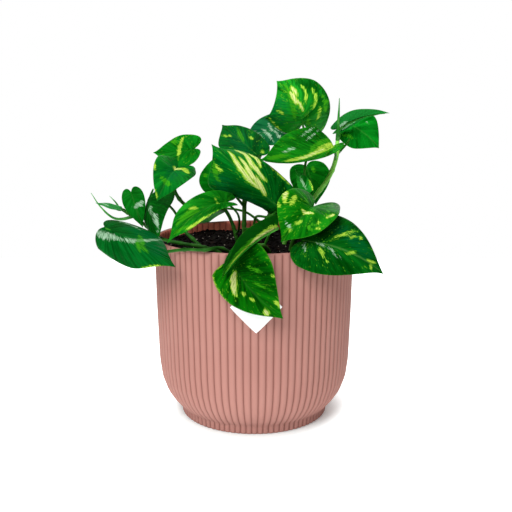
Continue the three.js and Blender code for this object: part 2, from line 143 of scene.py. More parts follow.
def makeVeinGroup():
    # Place is in millimetres: along the midrib to where a side vein starts, then out along it.
    tree, given, out = makeGroup("sideVeins", {"Place": None, "Spacing": 6.0, "Wander": 1.6},
                                 ["Line", "Band", "Height"])
    parts = splitXyz(tree, given["Place"])
    reach = maths(tree, "ABSOLUTE", parts[1])
    seed = maths(tree, "MULTIPLY_ADD", maths(tree, "SIGN", parts[1]), 17.0, parts[2])
    drift = maths(tree, "SUBTRACT", noiseAt(tree, given["Place"], 0.07), 0.5)
    along = maths(tree, "MULTIPLY_ADD", drift, given["Wander"], parts[0])
    offCentre = maths(tree, "PINGPONG", maths(tree, "DIVIDE", along, given["Spacing"]), 0.5)
    line = remap(tree, offCentre, 0.1, 0.0)
    band = remap(tree, veinNoise(tree, along, reach, seed, 0.55, 0.05), 0.32, 0.68)
    ripple = veinNoise(tree, along, reach, seed, 1.7, 0.16)
    height = maths(tree, "SUBTRACT", maths(tree, "MULTIPLY_ADD", band, 0.5, ripple), line)
    connect(tree, out, {"Line": line, "Band": band, "Height": height})
    return tree


def makeFleckGroup():
    # Short dashes along the side veins, in loose clusters.
    tree, given, out = makeGroup("flecks", {"Place": None, "Size": 2.0, "Amount": 0.3, "Seed": 0.0}, ["Mask"])
    parts = splitXyz(tree, given["Place"])
    place = joinXyz(
        tree, maths(tree, "DIVIDE", parts[0], given["Size"]),
        maths(tree, "DIVIDE", maths(tree, "ABSOLUTE", parts[1]), maths(tree, "MULTIPLY", given["Size"], 2.4)),
        maths(tree, "MULTIPLY_ADD", maths(tree, "SIGN", parts[1]), 9.0, given["Seed"]))
    both = maths(tree, "MULTIPLY_ADD", noiseAt(tree, place, 0.23, 1.0), 0.6, noiseAt(tree, place, 1.0, 1.0))
    low = maths(tree, "SUBTRACT", 1.04, maths(tree, "MULTIPLY", given["Amount"], 0.35))
    connect(tree, out, {"Mask": remap(tree, both, low, maths(tree, "ADD", low, 0.05))})
    return tree


def makePaintGroup():
    # A mark feathered and broken along the side veins, from how far inside it a point is, in millimetres.
    tree, given, out = makeGroup(
        "paintedMark", {"Inside": 0.0, "Place": None, "Wobble": 1.0, "Soft": 0.3, "Streaks": 0.7}, ["Mask"])
    parts = splitXyz(tree, given["Place"])
    reach = maths(tree, "ABSOLUTE", parts[1])
    seed = maths(tree, "MULTIPLY_ADD", maths(tree, "SIGN", parts[1]), 7.0, parts[2])
    fine = maths(tree, "SUBTRACT", veinNoise(tree, parts[0], reach, seed, 2.3, 0.2), 0.5)
    broad = maths(tree, "SUBTRACT", veinNoise(tree, parts[0], reach, seed, 0.4, 0.24), 0.5)
    shift = maths(tree, "MULTIPLY_ADD", fine, 2.0, broad)
    inside = maths(tree, "MULTIPLY_ADD", shift, given["Wobble"], given["Inside"])
    mask = remap(tree, inside, maths(tree, "MULTIPLY", given["Soft"], -1.0), given["Soft"])
    streaks = remap(tree, veinNoise(tree, parts[0], reach, seed, 1.7, 0.22), 0.5, 0.58)
    kept = maths(tree, "SUBTRACT", 1.0, maths(tree, "MULTIPLY", streaks, given["Streaks"]))
    connect(tree, out, {"Mask": maths(tree, "MULTIPLY", mask, kept)})
    return tree


def makeGrainGroup():
    # Fine moulded or fibrous grain in the object's own space.
    tree, given, out = makeGroup("fineGrain", {"Place": None, "Scale": 900.0, "Mottle": 40.0},
                                 ["Grain", "Cloud"])
    for output, scale in (("Grain", "Scale"), ("Cloud", "Mottle")):
        connect(tree, out, {output: noiseAt(tree, given["Place"], given[scale], 3.0)})
    return tree


veinGroup = makeVeinGroup()
fleckGroup = makeFleckGroup()
paintGroup = makePaintGroup()
grainGroup = makeGrainGroup()
print("shader groups ready")


# Mesh helpers

def unit(v):
    v = np.asarray(v, float)
    return v / np.linalg.norm(v, axis=-1, keepdims=True)


def makePiece(name, parts, materials, slotName, *nodeNames):
    # parts: (points in mm, faces, material index, {attribute: values}); they share one mesh
    points, faces, slots, values = [], [], [], {}
    start = 0
    for partPoints, partFaces, index, partValues in parts:
        points.append(np.asarray(partPoints, float))
        faces += [[start + i for i in face] for face in partFaces]
        slots += [index] * len(partFaces)
        for key, value in partValues.items():
            values.setdefault(key, []).append((start, np.asarray(value, float)))
        start += len(partPoints)
    mesh = bpy.data.meshes.new(name)
    mesh.from_pydata((np.concatenate(points) * mm).tolist(), [], faces)
    for material in materials:
        mesh.materials.append(material)
    mesh.polygons.foreach_set("material_index", slots)
    mesh.polygons.foreach_set("use_smooth", [True] * len(faces))
    for key, stretches in values.items():
        vector = stretches[0][1].ndim == 2
        whole = np.zeros((start, 3) if vector else start, np.float32)
        for first, value in stretches:
            whole[first:first + len(value)] = value
        attribute = mesh.attributes.new(key, "FLOAT_VECTOR" if vector else "FLOAT", "POINT")
        attribute.data.foreach_set("vector" if vector else "value", whole.ravel())
    piece = bpy.data.objects.new(name, mesh)
    bpy.context.scene.collection.objects.link(piece)
    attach(piece, "root")
    if nodeNames:
        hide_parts(*nodeNames)


def splinePoints(points, steps=24):
    # The centripetal curve through the points, as the solids use it.
    points = np.asarray(points, float)
    padded = np.concatenate([[2 * points[0] - points[1]], points, [2 * points[-1] - points[-2]]])
    t = (np.arange(steps) / steps)[:, None]
    found = []
    for k in range(len(points) - 1):
        p0, p1, p2, p3 = padded[k:k + 4]
        d0, d1, d2 = (max(np.linalg.norm(b - a), 1e-6) ** 0.5 for a, b in ((p0, p1), (p1, p2), (p2, p3)))
        t1 = ((p1 - p0) / d0 - (p2 - p0) / (d0 + d1) + (p2 - p1) / d1) * d1
        t2 = ((p2 - p1) / d1 - (p3 - p1) / (d1 + d2) + (p3 - p2) / d2) * d1
        cubic = (2 * p1 - 2 * p2 + t1 + t2) * t ** 3
        found.append(p1 + t1 * t + (-3 * p1 + 3 * p2 - 2 * t1 - t2) * t ** 2 + cubic)
    return np.concatenate(found + [points[-1:]])


def evenly(line, count):  # the same line with evenly spaced points, and its length
    reach = np.concatenate([[0], np.cumsum(np.linalg.norm(np.diff(line, axis=0), axis=1))])
    wanted = np.linspace(0, reach[-1], count)
    return np.stack([np.interp(wanted, reach, line[:, k]) for k in range(3)], 1), reach[-1]


def lengthOf(line):
    return np.linalg.norm(np.diff(line, axis=0), axis=1).sum()


def pointAt(points, share):
    return evenly(splinePoints(points), 400)[0][int(round(share * 399))]


def ringFaces(rings, sides):  # between rings of points, and to the two end points that come after them
    at = lambda k, i: k * sides + i % sides
    first, last, end = rings * sides, rings * sides + 1, rings - 1
    faces = [[at(k, i), at(k, i + 1), at(k + 1, i + 1), at(k + 1, i)]
             for k in range(end) for i in range(sides)]
    faces += [[first, at(0, i + 1), at(0, i)] for i in range(sides)]
    faces += [[last, at(end, i), at(end, i + 1)] for i in range(sides)]
    return faces


def tubePart(line, radii, sides, index, shape=None):
    # A closed round stem. shape(turns, share) varies the radius round it.
    tangents = unit(np.gradient(line, axis=0))
    normal = unit(np.cross(tangents[0], [0.3, 0.5, 0.81]))
    turns = np.linspace(0, 2 * math.pi, sides, endpoint=False)
    shares = np.linspace(0, 1, len(line))
    rings = []
    for k, tangent in enumerate(tangents):
        normal = unit(normal - tangent * (normal @ tangent))
        radius = radii[k] * (1 if shape is None else shape(turns, shares[k]))
        out = np.outer(np.cos(turns), normal) + np.outer(np.sin(turns), np.cross(tangent, normal))
        rings.append(line[k] + out * np.reshape(radius, (-1, 1)))
    caps = [line[0] - tangents[0] * radii[0] * 0.4, line[-1] + tangents[-1] * radii[-1] * 0.6]
    stemShare = np.concatenate([np.repeat(shares, sides), [0, 1]])
    return np.concatenate(rings + [caps]), ringFaces(len(line), sides), index, {"stemShare": stemShare}


# Leaves

leafBuild = {
    "rows": 96, "columns": 32,  # how finely a blade is divided
    "thickness": 0.5, "marginThickness": 0.22, "midribGroove": 0.25, "grooveWidth": 1.3,
    "veinSpacing": 5.2, "quilt": 0.3,  # the blade swells a little between side veins
    "stalkSides": 12, "stalkStep": 1.6, "stalkFoot": 1.4, "stalkCollar": 1.0, "stalkTip": 0.35, "knee": 0.2,
    "ribUnder": [[0.01, 1.35], [0.2, 1.3], [0.45, 1.05], [0.72, 0.7], [0.92, 0.4]],
}

vines = {
    "right": [[26, 2, 138], [28, 2, 157], [40, 1, 178], [53, 0, 197], [68, 2, 218], [74, 2, 236],
              [75, 6, 250]],
    "middle": [[-8, 8, 138], [-9, 8, 158], [-9, 8, 178], [-8, 10, 200], [-2, 16, 222], [6, 20, 236]],
    "left": [[-14, -6, 138], [-15, -6, 157], [-20, -5, 177], [-28, -6, 190], [-44.5, -9, 192.5],
             [-59.5, -14, 193.5], [-68.5, -19, 204.5], [-70.5, -22, 215]],
    "lowLeft": [[-24, -50, 138], [-28, -51, 157], [-45, -52, 163.5], [-58, -51, 165.5], [-75, -46, 168],
                [-86, -37, 170.5], [-94, -27, 177], [-107, -24, 186], [-119, -22, 193]],
    "overRim": [[-18, -60, 138], [-18, -61, 157], [-24, -70, 164.5], [-31, -79, 167.6], [-37.5, -85.5, 167.2],
                [-46, -82, 166.4], [-54, -76, 165.6], [-64, -68.5, 163.4], [-74, -62, 161], [-84, -58, 161],
                [-94, -47, 166], [-104, -37, 173]],
    "rimLeft": [[-40, -42, 138], [-42, -42, 157], [-51, -38, 165.8], [-59, -35, 173], [-64.5, -31, 181.5]],
    "front": [[14, -46, 138], [13, -50, 157], [9, -60, 165], [2, -72, 168]],
    "frontRight": [[32, -34, 138], [32, -37, 157], [35, -46, 170], [42, -56, 180]],
    "back": [[6, 44, 138], [6, 46, 157], [14, 52, 174], [26, 58, 188]],
}

# face is the blade's upward direction. fold and curl are in degrees and lobe is a share, each one for the
# left and the right half. marks are painted strokes by tone: half width in mm, then the row and the place
# across of each point, in percent of the blade. What a leaf leaves out is in leafShape and leafLook.
leafShape = dict(skew=0, curl=[20, 20], lobe=[1, 1], wave=0.8, twist=0)

leaves = {
    "top": dict(
        on="right", at=0.48, via=[[46, 8, 222], [49, 17, 240], [46, 15, 256]],
        collar=[44, 9, 265], tip=[20, 4, 302], face=[0, -0.95, 0.4],
        width=62, skew=0.1, full=0.28, arch=13, fold=[-34, 30], curl=[17, 12], lobe=[1.7, 2.6], wave=1,
        look=dict(shade=0.98, deep=(0, 78, 8), fresh=(26, 152, 34), flecks=0.25, seed=3),
        marks=dict(
            dark=[(7, 30, 95, 55, 90, 75, 80)], teal=[(9, 30, -70, 50, -60, 70, -40)],
            cream=[(0.9, 74, 45, 68, 35, 60, 26), (1.2, 72, 15, 62, 7, 50, 3),
                (0.8, 55, 12, 45, 12, 37, 12)],
            yellow=[(1, 63, 66, 53, 45, 46, 24), (1.1, 54, 74, 46, 64, 39, 43),
                (0.9, 41, 68, 35, 64, 30, 60), (1, 57, -62, 48, -46, 40, -39),
                (0.9, 42, -86, 32, -92, 22, -99)],
            lime=[(2.2, 85, 50, 70, 0, 44, -12, 24, -26), (1.8, 28, 28, 16, 40),
                (1.6, 48, 86, 42, 85, 35, 85)])),
    "topFolded": dict(
        on="right", at=0.86, via=[[72, -10, 238]],
        collar=[69, -20, 246.5], tip=[4.5, -51, 237], face=[-0.1, -0.22, 0.96],
        width=50, skew=-0.3, full=0.19, arch=-7, fold=[10, 33], curl=[4, 3], lobe=[0.6, 0.2],
        look=dict(shade=0.66, deep=(0, 70, 4), fresh=(24, 150, 24), flecks=0.1, seed=5),
        marks=dict(
            dark=[(7, 22, 75, 35, 70, 50, 70)],
            yellow=[(1.6, 76, 0, 66, 3, 53, 4, 36, 6), (1.5, 20, 8, 12, 10, 6, 20),
                (4.5, 1, 10, 14, 10, 34, 8)], cream=[(1.1, 58, 3, 45, 5, 33, 8, 20, 12)],
            pale=[(0.7, 44, 70, 38, 83, 33, 97), (0.7, 40, 55, 35, 69, 28, 95),
                (1.2, 64, 50, 56, 45, 50, 43)],
            lime=[(9, 0, 20, 12, 15, 40, 10), (2, 88, 60, 75, 45, 60, 28), (1.2, 52, 90, 46, 70)])),
    "rightSide": dict(
        on="right", at=0.97, via=[[78, 16, 254]],
        collar=[77, 28, 259], tip=[124, 23.5, 273.5], face=[0, 0.37, 1],
        width=36, full=0, arch=4.5, fold=[14, 16], curl=[20, 18], lobe=[0.8, 0.8], wave=0.6,
        look=dict(shade=1.1, deep=(0, 92, 14), fresh=(30, 140, 56), under=(26, 126, 46), seed=7),
        marks=dict(pale=[(3.2, 2, 0, 15, 10, 34, 20), (1.2, 35, -90, 50, -60)])),
    "backRight": dict(
        on="right", at=0.9, via=[[80, 22, 240], [90, 42, 250]],
        collar=[90, 52, 263], tip=[119, 48, 240], face=[0.3, -0.9, 0.4],
        width=44, full=0.1, arch=4, fold=[10, 10], lobe=[0.8, 0.8],
        look=dict(shade=1.4, deep=(0, 70, 6), fresh=(8, 124, 26), seed=9),
        marks=dict(lime=[(1.4, 30, 90, 40, 60, 50, 50)], pale=[(1.0, 10, -70, 30, -60, 50, -50)])),
    "crown": dict(
        on="middle", at=1, via=[[10, 26, 242], [22, 36, 254]],
        collar=[32.5, 42, 261.5], tip=[-11, 34, 244.5], face=[-0.1, -0.8, 0.7],
        width=39, full=0.05, arch=4, fold=[10, 10], lobe=[0.8, 0.8], wave=1,
        look=dict(shade=0.64, deep=(0, 76, 40), fresh=(22, 116, 62), band=1.0, seed=11),
        marks=dict(
            pale=[(1.2, 59, 34, 55, -19, 55, -80), (1.1, 49, 39, 43, -12, 47, -71),
                (1, 70, 39, 66, -47, 64, -90), (0.9, 38, 30, 35, -10, 36, -60)])),
    "crownLeft": dict(
        on="middle", at=0.8, via=[[4, 4, 229]],
        collar=[3, -9, 237.5], tip=[-29.5, 24, 263], face=[0, -0.77, 0.65],
        width=38, skew=0.13, full=0.29, arch=1, fold=[12, 10], lobe=[0.8, 0.7], wave=1,
        look=dict(shade=0.68, deep=(0, 54, 14), fresh=(2, 120, 34), flecks=0.16, seed=13),
        marks=dict(
            teal=[(7, 30, -40, 60, 0, 75, 20)], dark=[(6, 2, 60, 20, 30)],
            yellow=[(0.9, 71, -70, 66, -50), (0.8, 70, -36, 65, -28), (1, 48, 46, 43, 50),
                (1, 24, 56, 19, 76)], lime=[(1.6, 70, 80, 61, 31, 45, -2)])),
    "central": dict(
        on="middle", at=0.3, via=[[-1, -6, 172], [2, -18, 184], [13, -33, 186.5]],
        collar=[21.5, -44, 194], tip=[-35, -54.5, 250], face=[-0.2, -1, 0.4],
        width=69, skew=0.19, full=0.54, arch=9.5, fold=[-28, -29], curl=[56, 28], twist=45, lobe=[1.4, 0.2],
        wave=1,
        look=dict(shade=0.88, deep=(0, 74, 16), fresh=(8, 130, 34), flecks=0.1, seed=17),
        marks=dict(
            teal=[(9, 25, -40, 50, -60, 65, -50)], dark=[(7, 10, 70, 25, 60, 40, 75)],
            cream=[(1.6, 76, 80, 72, 36, 67, 11, 53, 0, 42, 0),
                (1.9, 66, 98, 56, 83, 52, 51, 47, 43, 41, 36), (1.2, 52, 98, 48, 91, 46, 65),
                (1.8, 60, 28, 52, 16, 42, 12, 31, 0), (1.1, 65, 58, 58, 35, 50, 16)],
            yellow=[(1.4, 43, 98, 40, 97, 35, 95), (1.2, 78, -82, 70, -50)],
            lime=[(1.8, 80, -90, 70, -75, 57, -60)])),
    "behindCentral": dict(
        on="middle", at=0.5, via=[[-19, -4, 203]],
        collar=[-26.5, -11.5, 208.5], tip=[-28, -1, 240], face=[-0.3, -0.9, 0.2],
        width=46, full=0.1, arch=2.5, fold=[8, 8],
        look=dict(shade=0.95, deep=(0, 84, 6), fresh=(14, 134, 24), seed=19),
        marks=dict(lime=[(1.4, 52, -90, 50, -60)])),
    "lance": dict(
        on="left", at=0.25, via=[[-13.5, -20, 172.5], [-14, -46, 191]],
        collar=[-22.4, -58.5, 202.4], tip=[-69.7, -87, 172.6], face=[-0.06, -0.79, 0.54],
        width=26, full=0.4, arch=14.5, fold=[31, 20], curl=[5, 16], lobe=[0.4, 1.6],
        look=dict(deep=(0, 94, 10), fresh=(30, 156, 30), flecks=0.18, seed=23),
        marks=dict(
            dark=[(6, 20, -50, 40, -60, 60, -40)],
            yellow=[(1.1, 54, 55, 52, 40, 51, 18), (1.6, 66, -85, 55, -90, 42, -95), (0.9, 24, 4, 29, -20),
                (0.8, 36, 50, 33, 30)], lime=[(2, 75, 69, 63, 40, 52, 6), (1.7, 90, 0, 80, -50, 62, -74)])),
    "leftTop": dict(
        on="left", at=1, via=[[-62, -15, 228], [-54, -13, 238]],
        collar=[-51.5, -18, 244], tip=[-89, -10, 240], face=[-0.1, -0.82, 0.6],
        width=31, skew=0.05, full=0.19, arch=-3.5, fold=[8, 22], curl=[17, 9], lobe=[1.4, 1.5],
        look=dict(deep=(0, 86, 6), fresh=(16, 144, 28), flecks=0.15, midrib=0.06, seed=29),
        marks=dict(yellow=[(1.5, 42, 96, 47, 36, 49, -50)], lime=[(1.4, 62, 90, 55, 70, 50, 51)])),
    "leftMiddle": dict(
        on="left", at=0.93, via=[[-66, -32, 221]],
        collar=[-64.5, -42.5, 229.5], tip=[-80.5, -59, 203], face=[0.1, -0.93, 0.5],
        width=36.5, skew=0.03, full=-0.08, arch=9.5, fold=[26, 23], curl=[16, 16], lobe=[1.4, 1.6],
        look=dict(deep=(0, 84, 24), fresh=(16, 142, 36), seed=31),
        marks=dict(
            teal=[(6, 10, 10, 35, -10, 55, -10)], dark=[(4, 35, -95, 60, -90)],
            cream=[(1.4, 24, 19, 16, 2, 28, -38)],
            yellow=[(2.2, 20, -34, 32, -54, 43, -74), (1, 54, 97, 60, 86), (1, 78, 94, 92, 95)],
            lime=[(1.9, 61, 49, 63, 0, 66, -50)])),
    "leftHanging": dict(
        on="rimLeft", at=1, via=[[-70, -26, 190.5], [-80, -21, 199]],
        collar=[-88.6, -23.5, 204.9], tip=[-80.1, -56, 165.8], face=[-0.47, -0.81, 0.23],
        width=35, skew=0.26, full=-0.1, arch=7.5, fold=[-6, -8], curl=[26, 37], lobe=[1, 1.8],
        look=dict(shade=0.68, deep=(0, 56, 8), fresh=(12, 116, 24), midrib=0.04, seed=37),
        marks=dict(
            dark=[(7, 15, -50, 50, -50, 80, -20)],
            pale=[(1.6, 57, -16, 70, -47, 80, -70), (1, 39, -2, 57, -11)])),
    "lowLeft": dict(
        on="overRim", at=1, via=[[-115, -36, 178.5]],
        collar=[-126.4, -51.3, 180.4], tip=[-62.4, -93.3, 154.3], face=[-0.33, -0.72, 0.66],
        width=50, skew=0.09, full=0.25, arch=7, fold=[-33, -14], curl=[25, 31], lobe=[1.1, 0.7],
        look=dict(shade=0.62, deep=(0, 72, 14), fresh=(6, 116, 38), gloss=0.26, midrib=0.04, seed=41),
        marks=dict(
            teal=[(9, 35, -60, 60, -60, 80, -40)], dark=[(6, 15, 30, 25, -30)],
            pale=[(2.6, 14, 98, 20, 70, 30, 35, 42, 12), (1.7, 36, 20, 54, 0, 59, -41, 59, -95),
                (1.2, 28, -90, 35, -85, 44, -70)],
            lime=[(1.7, 47, -42, 60, -17, 72, 20), (1.3, 50, -32, 60, 3, 64, 30)],
            yellow=[(0.9, 64, 98, 73, 99, 82, 98)])),
    "outerLeft": dict(
        on="lowLeft", at=0.8, via=[[-106, -22, 200]],
        collar=[-106.5, -28.4, 207.4], tip=[-95.1, -41.9, 178], face=[0, -1, 0.3],
        width=20, full=0, arch=3.5, fold=[7, 3], lobe=[0.9, 1.1], wave=0.5,
        look=dict(shade=0.62, deep=(0, 86, 6), fresh=(12, 124, 26), gloss=0.26, seed=43),
        marks=dict(pale=[(2, 53, 20, 54, -35, 55, -80)])),
    "outerLance": dict(
        on="lowLeft", at=0.95, via=[[-114, -27, 192]],
        collar=[-115.5, -31, 192.5], tip=[-136.5, -34.5, 198.5], face=[0, -0.4, 1],
        width=9, full=0.1, arch=0, fold=[14, 14], curl=[10, 10], lobe=[0.3, 0.3], wave=0.3,
        look=dict(shade=0.68, deep=(10, 104, 24), fresh=(64, 164, 84), seed=47),
        marks=dict(pale=[(0.9, 75, 80, 58, 3)])),
    "frontHanging": dict(
        on="front", at=1, via=[[-9, -86, 169.5]],
        collar=[-18.5, -93.5, 160], tip=[23.5, -106.5, 115.5], face=[0, -0.84, -0.24],
        width=52, skew=0.12, full=-0.03, arch=10.5, fold=[5, 15], curl=[20, 22], lobe=[0.7, 0.2],
        look=dict(shade=0.5, deep=(0, 48, 2), fresh=(16, 136, 8), flecks=0.2, margin=1.0, seed=53),
        marks=dict(
            dark=[(9, 15, -40, 40, -45, 70, -50)],
            cream=[(1.9, 24, 10, 41, 33, 53, 56), (1.1, 77, 48, 80, 80)],
            yellow=[(1, 52, 29, 56, 29), (0.9, 60, 26, 65, 25), (0.9, 59, -85, 63, -98),
                (1.3, 75, -66, 78, -88, 82, -98), (0.9, 26, 98, 43, 99, 57, 99), (0.9, 26, 98, 16, 98)],
            lime=[(1.2, 34, -31, 46, -44, 55, -62), (1.2, 50, -17, 60, -39, 69, -70),
                (0.7, 30, -98, 45, -99, 60, -99)])),
    "frontFolded": dict(
        on="front", at=0.72, via=[[14, -68, 179]],
        collar=[18.8, -89.4, 186.2], tip=[-24.2, -131.3, 153.7], face=[-0.96, 0, 0.48],
        width=31, skew=-0.07, full=0.23, arch=4.5, fold=[41, 42], curl=[9, 11], lobe=[0.2, 0], wave=0.5,
        look=dict(shade=0.64, deep=(0, 52, 2), fresh=(6, 96, 10), under=(8, 78, 10), midrib=0.1, seed=59),
        marks=dict(
            yellow=[(3.8, 0, 0, 20, 0, 50, 0), (1.4, 45, 0, 70, 0, 92, 0)],
            cream=[(1.8, 4, 0, 33, 0, 52, 0)], lime=[(3.6, 20, 0, 60, 0, 98, 0)])),
    "frontSpotted": dict(
        on="frontRight", at=1, via=[[48, -54, 190]],
        collar=[49.5, -61, 199], tip=[22, -84, 173], face=[0.17, -0.93, 0.64],
        width=51, skew=0.04, full=0.22, arch=10, fold=[33, 14], curl=[5, 18], lobe=[3.2, 2.1],
        look=dict(shade=0.68, deep=(0, 82, 4), fresh=(22, 144, 16), flecks=0.24, margin=0.6, seed=61),
        marks=dict(
            yellow=[(1.7, 37, 72, 44, 60, 51, 55), (1.6, 48, 92, 52, 70), (1.2, 55, 98, 59, 87),
                (1.3, 70, 3, 64, -11, 58, -15), (1.1, 79, 26, 82, -17), (1.2, 51, -61, 52, -76),
                (1.2, 56, -78, 55, -90)],
            cream=[(1.4, 43, 95, 49, 87), (1.4, 43, 16, 40, -7, 41, -27), (1.3, 45, -76, 41, -86)],
            lime=[(1.2, 26, -75, 30, -80), (1.2, 34, -60, 38, -70), (1.2, 55, -54, 55, -68),
                (1.5, 31, 54, 27, 26), (1.5, 60, -45, 60, -82)], pale=[(1.1, 71, 55, 80, 0)])),
    "rightLow": dict(
        on="frontRight", at=0.6, via=[[40, -67, 177]],
        collar=[39, -82.3, 174.1], tip=[105.6, -83.2, 146.5], face=[0.3, -0.79, 0.62],
        width=60, skew=0.17, full=0.06, arch=11, fold=[1, -9], curl=[19, 23], lobe=[1, 0.7],
        look=dict(shade=0.75, deep=(0, 60, 6), fresh=(8, 108, 22), flecks=0.2, midrib=0.5, seed=67),
        marks=dict(
            dark=[(8, 30, 80, 50, 75, 70, 70)], teal=[(7, 40, -50, 60, -50, 80, -40)],
            yellow=[(1.1, 39, -12, 47, -29, 53, -47, 62, -88), (0.9, 56, -40, 61, -62),
                (0.9, 64, -64, 65, -79), (1, 57, 12, 61, 1, 66, -12), (1.1, 32, 18, 38, 31, 43, 45),
                (1.1, 78, -10, 82, -22, 84, -60), (0.9, 83, 10, 81, 70), (0.8, 46, 54, 48, 59)],
            pale=[(0.5, 22, 0, 41, 12, 55, 35), (0.5, 14, 30, 19, 43, 28, 53)])),
    "backDark": dict(
        on="back", at=1, via=[[40, 44, 206]], collar=[49, 34.5, 224], tip=[58, 25, 189], face=[0.2, -1, 0.2],
        width=39, skew=0.03, full=0.1, arch=4, fold=[8, 8], lobe=[0.8, 0.8],
        look=dict(shade=1.5, deep=(0, 58, 4), fresh=(10, 112, 16), seed=71),
        marks=dict(lime=[(1.4, 22, -45, 38, -24)])),
    "smallCurled": dict(
        on="right", at=0.4, via=[[47, -12, 200]],
        collar=[46, -20, 206], tip=[36, -18, 226], face=[0.2, -1, 0.4],
        width=15, full=0, arch=1, fold=[35, 35], curl=[10, 10], lobe=[0.4, 0.4], wave=0.3,
        look=dict(shade=2.2, deep=(0, 80, 10), fresh=(36, 140, 44), gloss=0.22, seed=73),
        marks=dict(pale=[(1.1, 70, 15, 48, 9, 24, 20)], yellow=[(0.8, 54, 93, 33, 97)])),
    "backOverRim": dict(
        on="back", at=0.8, via=[[40, 60, 184]],
        collar=[54, 70, 179], tip=[80, 112, 138], face=[0.5, 0.7, 0.6],
        width=46, full=0.1, arch=8, fold=[6, 6], curl=[25, 25],
        look=dict(deep=(0, 76, 8), fresh=(16, 136, 26), flecks=0.26, seed=79),
        marks=dict(
            yellow=[(1.8, 50, 70, 45, 30)], cream=[(1.5, 60, -60, 50, -15)], lime=[(1.6, 30, 20, 36, 60)])),
    "backLeft": dict(
        on="back", at=0.5, via=[[-10, 58, 178], [-34, 62, 180]],
        collar=[-44, 66, 177], tip=[-72, 106, 136], face=[-0.5, 0.7, 0.6],
        width=42, full=0.1, arch=8, fold=[6, 6], curl=[25, 25],
        look=dict(deep=(0, 80, 10), fresh=(20, 142, 24), flecks=0.26, seed=83),
        marks=dict(
            cream=[(2, 38, 12, 50, 60)], yellow=[(1.3, 70, 20, 72, 50)], lime=[(1.6, 40, -20, 50, -70)])),
    "backRightLow": dict(
        on="back", at=0.6, via=[[34, 50, 173], [54, 44, 174]],
        collar=[68, 44, 174], tip=[110, 64, 148], face=[0.3, 0.2, 1],
        width=42, full=0.1, arch=5, fold=[6, 6], curl=[25, 25],
        look=dict(deep=(0, 72, 6), fresh=(14, 130, 22), flecks=0.2, seed=89),
        marks=dict(yellow=[(1.5, 42, 20, 50, 60)], lime=[(1.5, 40, -20, 50, -60)])),
    "backMiddle": dict(
        on="middle", at=0.55, via=[[2, 20, 204]],
        collar=[10, 28, 208], tip=[30, 52, 178], face=[0.4, 0.8, 0.4],
        width=40, full=0.12, arch=5, fold=[8, 8], curl=[25, 25],
        look=dict(deep=(0, 78, 10), fresh=(16, 138, 28), flecks=0.24, seed=97),
        marks=dict(cream=[(1.8, 35, -15, 48, -70)], yellow=[(1.2, 60, 30, 62, 60)])),
    "backUpright": dict(
        on="back", at=0.7, via=[[8, 62, 196]],
        collar=[-2, 64, 205], tip=[-30, 84, 236], face=[-0.2, 0.9, 0.5],
        width=46, full=0.12, arch=5, fold=[8, 8], curl=[25, 25],
        look=dict(deep=(0, 82, 12), fresh=(18, 142, 28), flecks=0.24, seed=101),
        marks=dict(
            cream=[(2.2, 45, 15, 54, 60)], yellow=[(1.5, 30, -20, 38, -50), (1.1, 65, -30, 66, -55)])),
}

outlinePoints = np.array([  # half of the heart shape: along the midrib, and out from it
    [0, 0], [-0.09, 0.16], [-0.13, 0.4], [-0.09, 0.68], [0.03, 0.9], [0.2, 1], [0.4, 0.93],
    [0.58, 0.72], [0.74, 0.46], [0.87, 0.21], [0.95, 0.07], [1, 0]])


def outlineAt(leaf, row, hand):  # a point of the leaf's own outline, hand 0 left and 1 right
    last = len(outlinePoints) - 1
    place = np.clip(row, 0, 1) * last
    start = np.minimum(np.floor(place).astype(int), last)
    share = (place - start)[..., None]
    p0, p1, p2, p3 = (outlinePoints[np.clip(start + k, 0, last)] for k in (-1, 0, 1, 2))
    v0, v1 = (p2 - p0) / 2, (p3 - p1) / 2
    cubic = (2 * p1 - 2 * p2 + v0 + v1) * share ** 3
    edge = cubic + (-3 * p1 + 3 * p2 - 2 * v0 - v1) * share ** 2 + v0 * share + p1
    x, y = edge[..., 0], edge[..., 1]
    lobe = np.array(leaf["lobe"], float)[hand]
    return np.where(x < 0, x * lobe, x + leaf["full"] * 4 * x * (1 - x) ** 2), y


def midribAt(leaf, share):  # point, upward direction and right-hand direction
    collar, tip, up = (np.array(leaf[key], float) for key in ("collar", "tip", "face"))
    length = np.linalg.norm(tip - collar)
    axis = (tip - collar) / length
    up = unit(up - axis * (up @ axis))
    share = np.asarray(share, float)[..., None]
    bow = np.where(share > 0, 4 * share * (1 - share), 4 * share)
    slope = np.where(share > 0, 4 - 8 * share, 4)
    point = collar + axis * length * share + up * leaf["arch"] * bow
    along = unit(axis * length + up * leaf["arch"] * slope)
    twist = math.radians(leaf["twist"]) * (share - 0.5)
    normal = up * np.cos(twist) + np.cross(axis, up) * np.sin(twist)
    normal = unit(normal - along * (normal * along).sum(-1, keepdims=True))
    return point, normal, np.cross(along, normal)


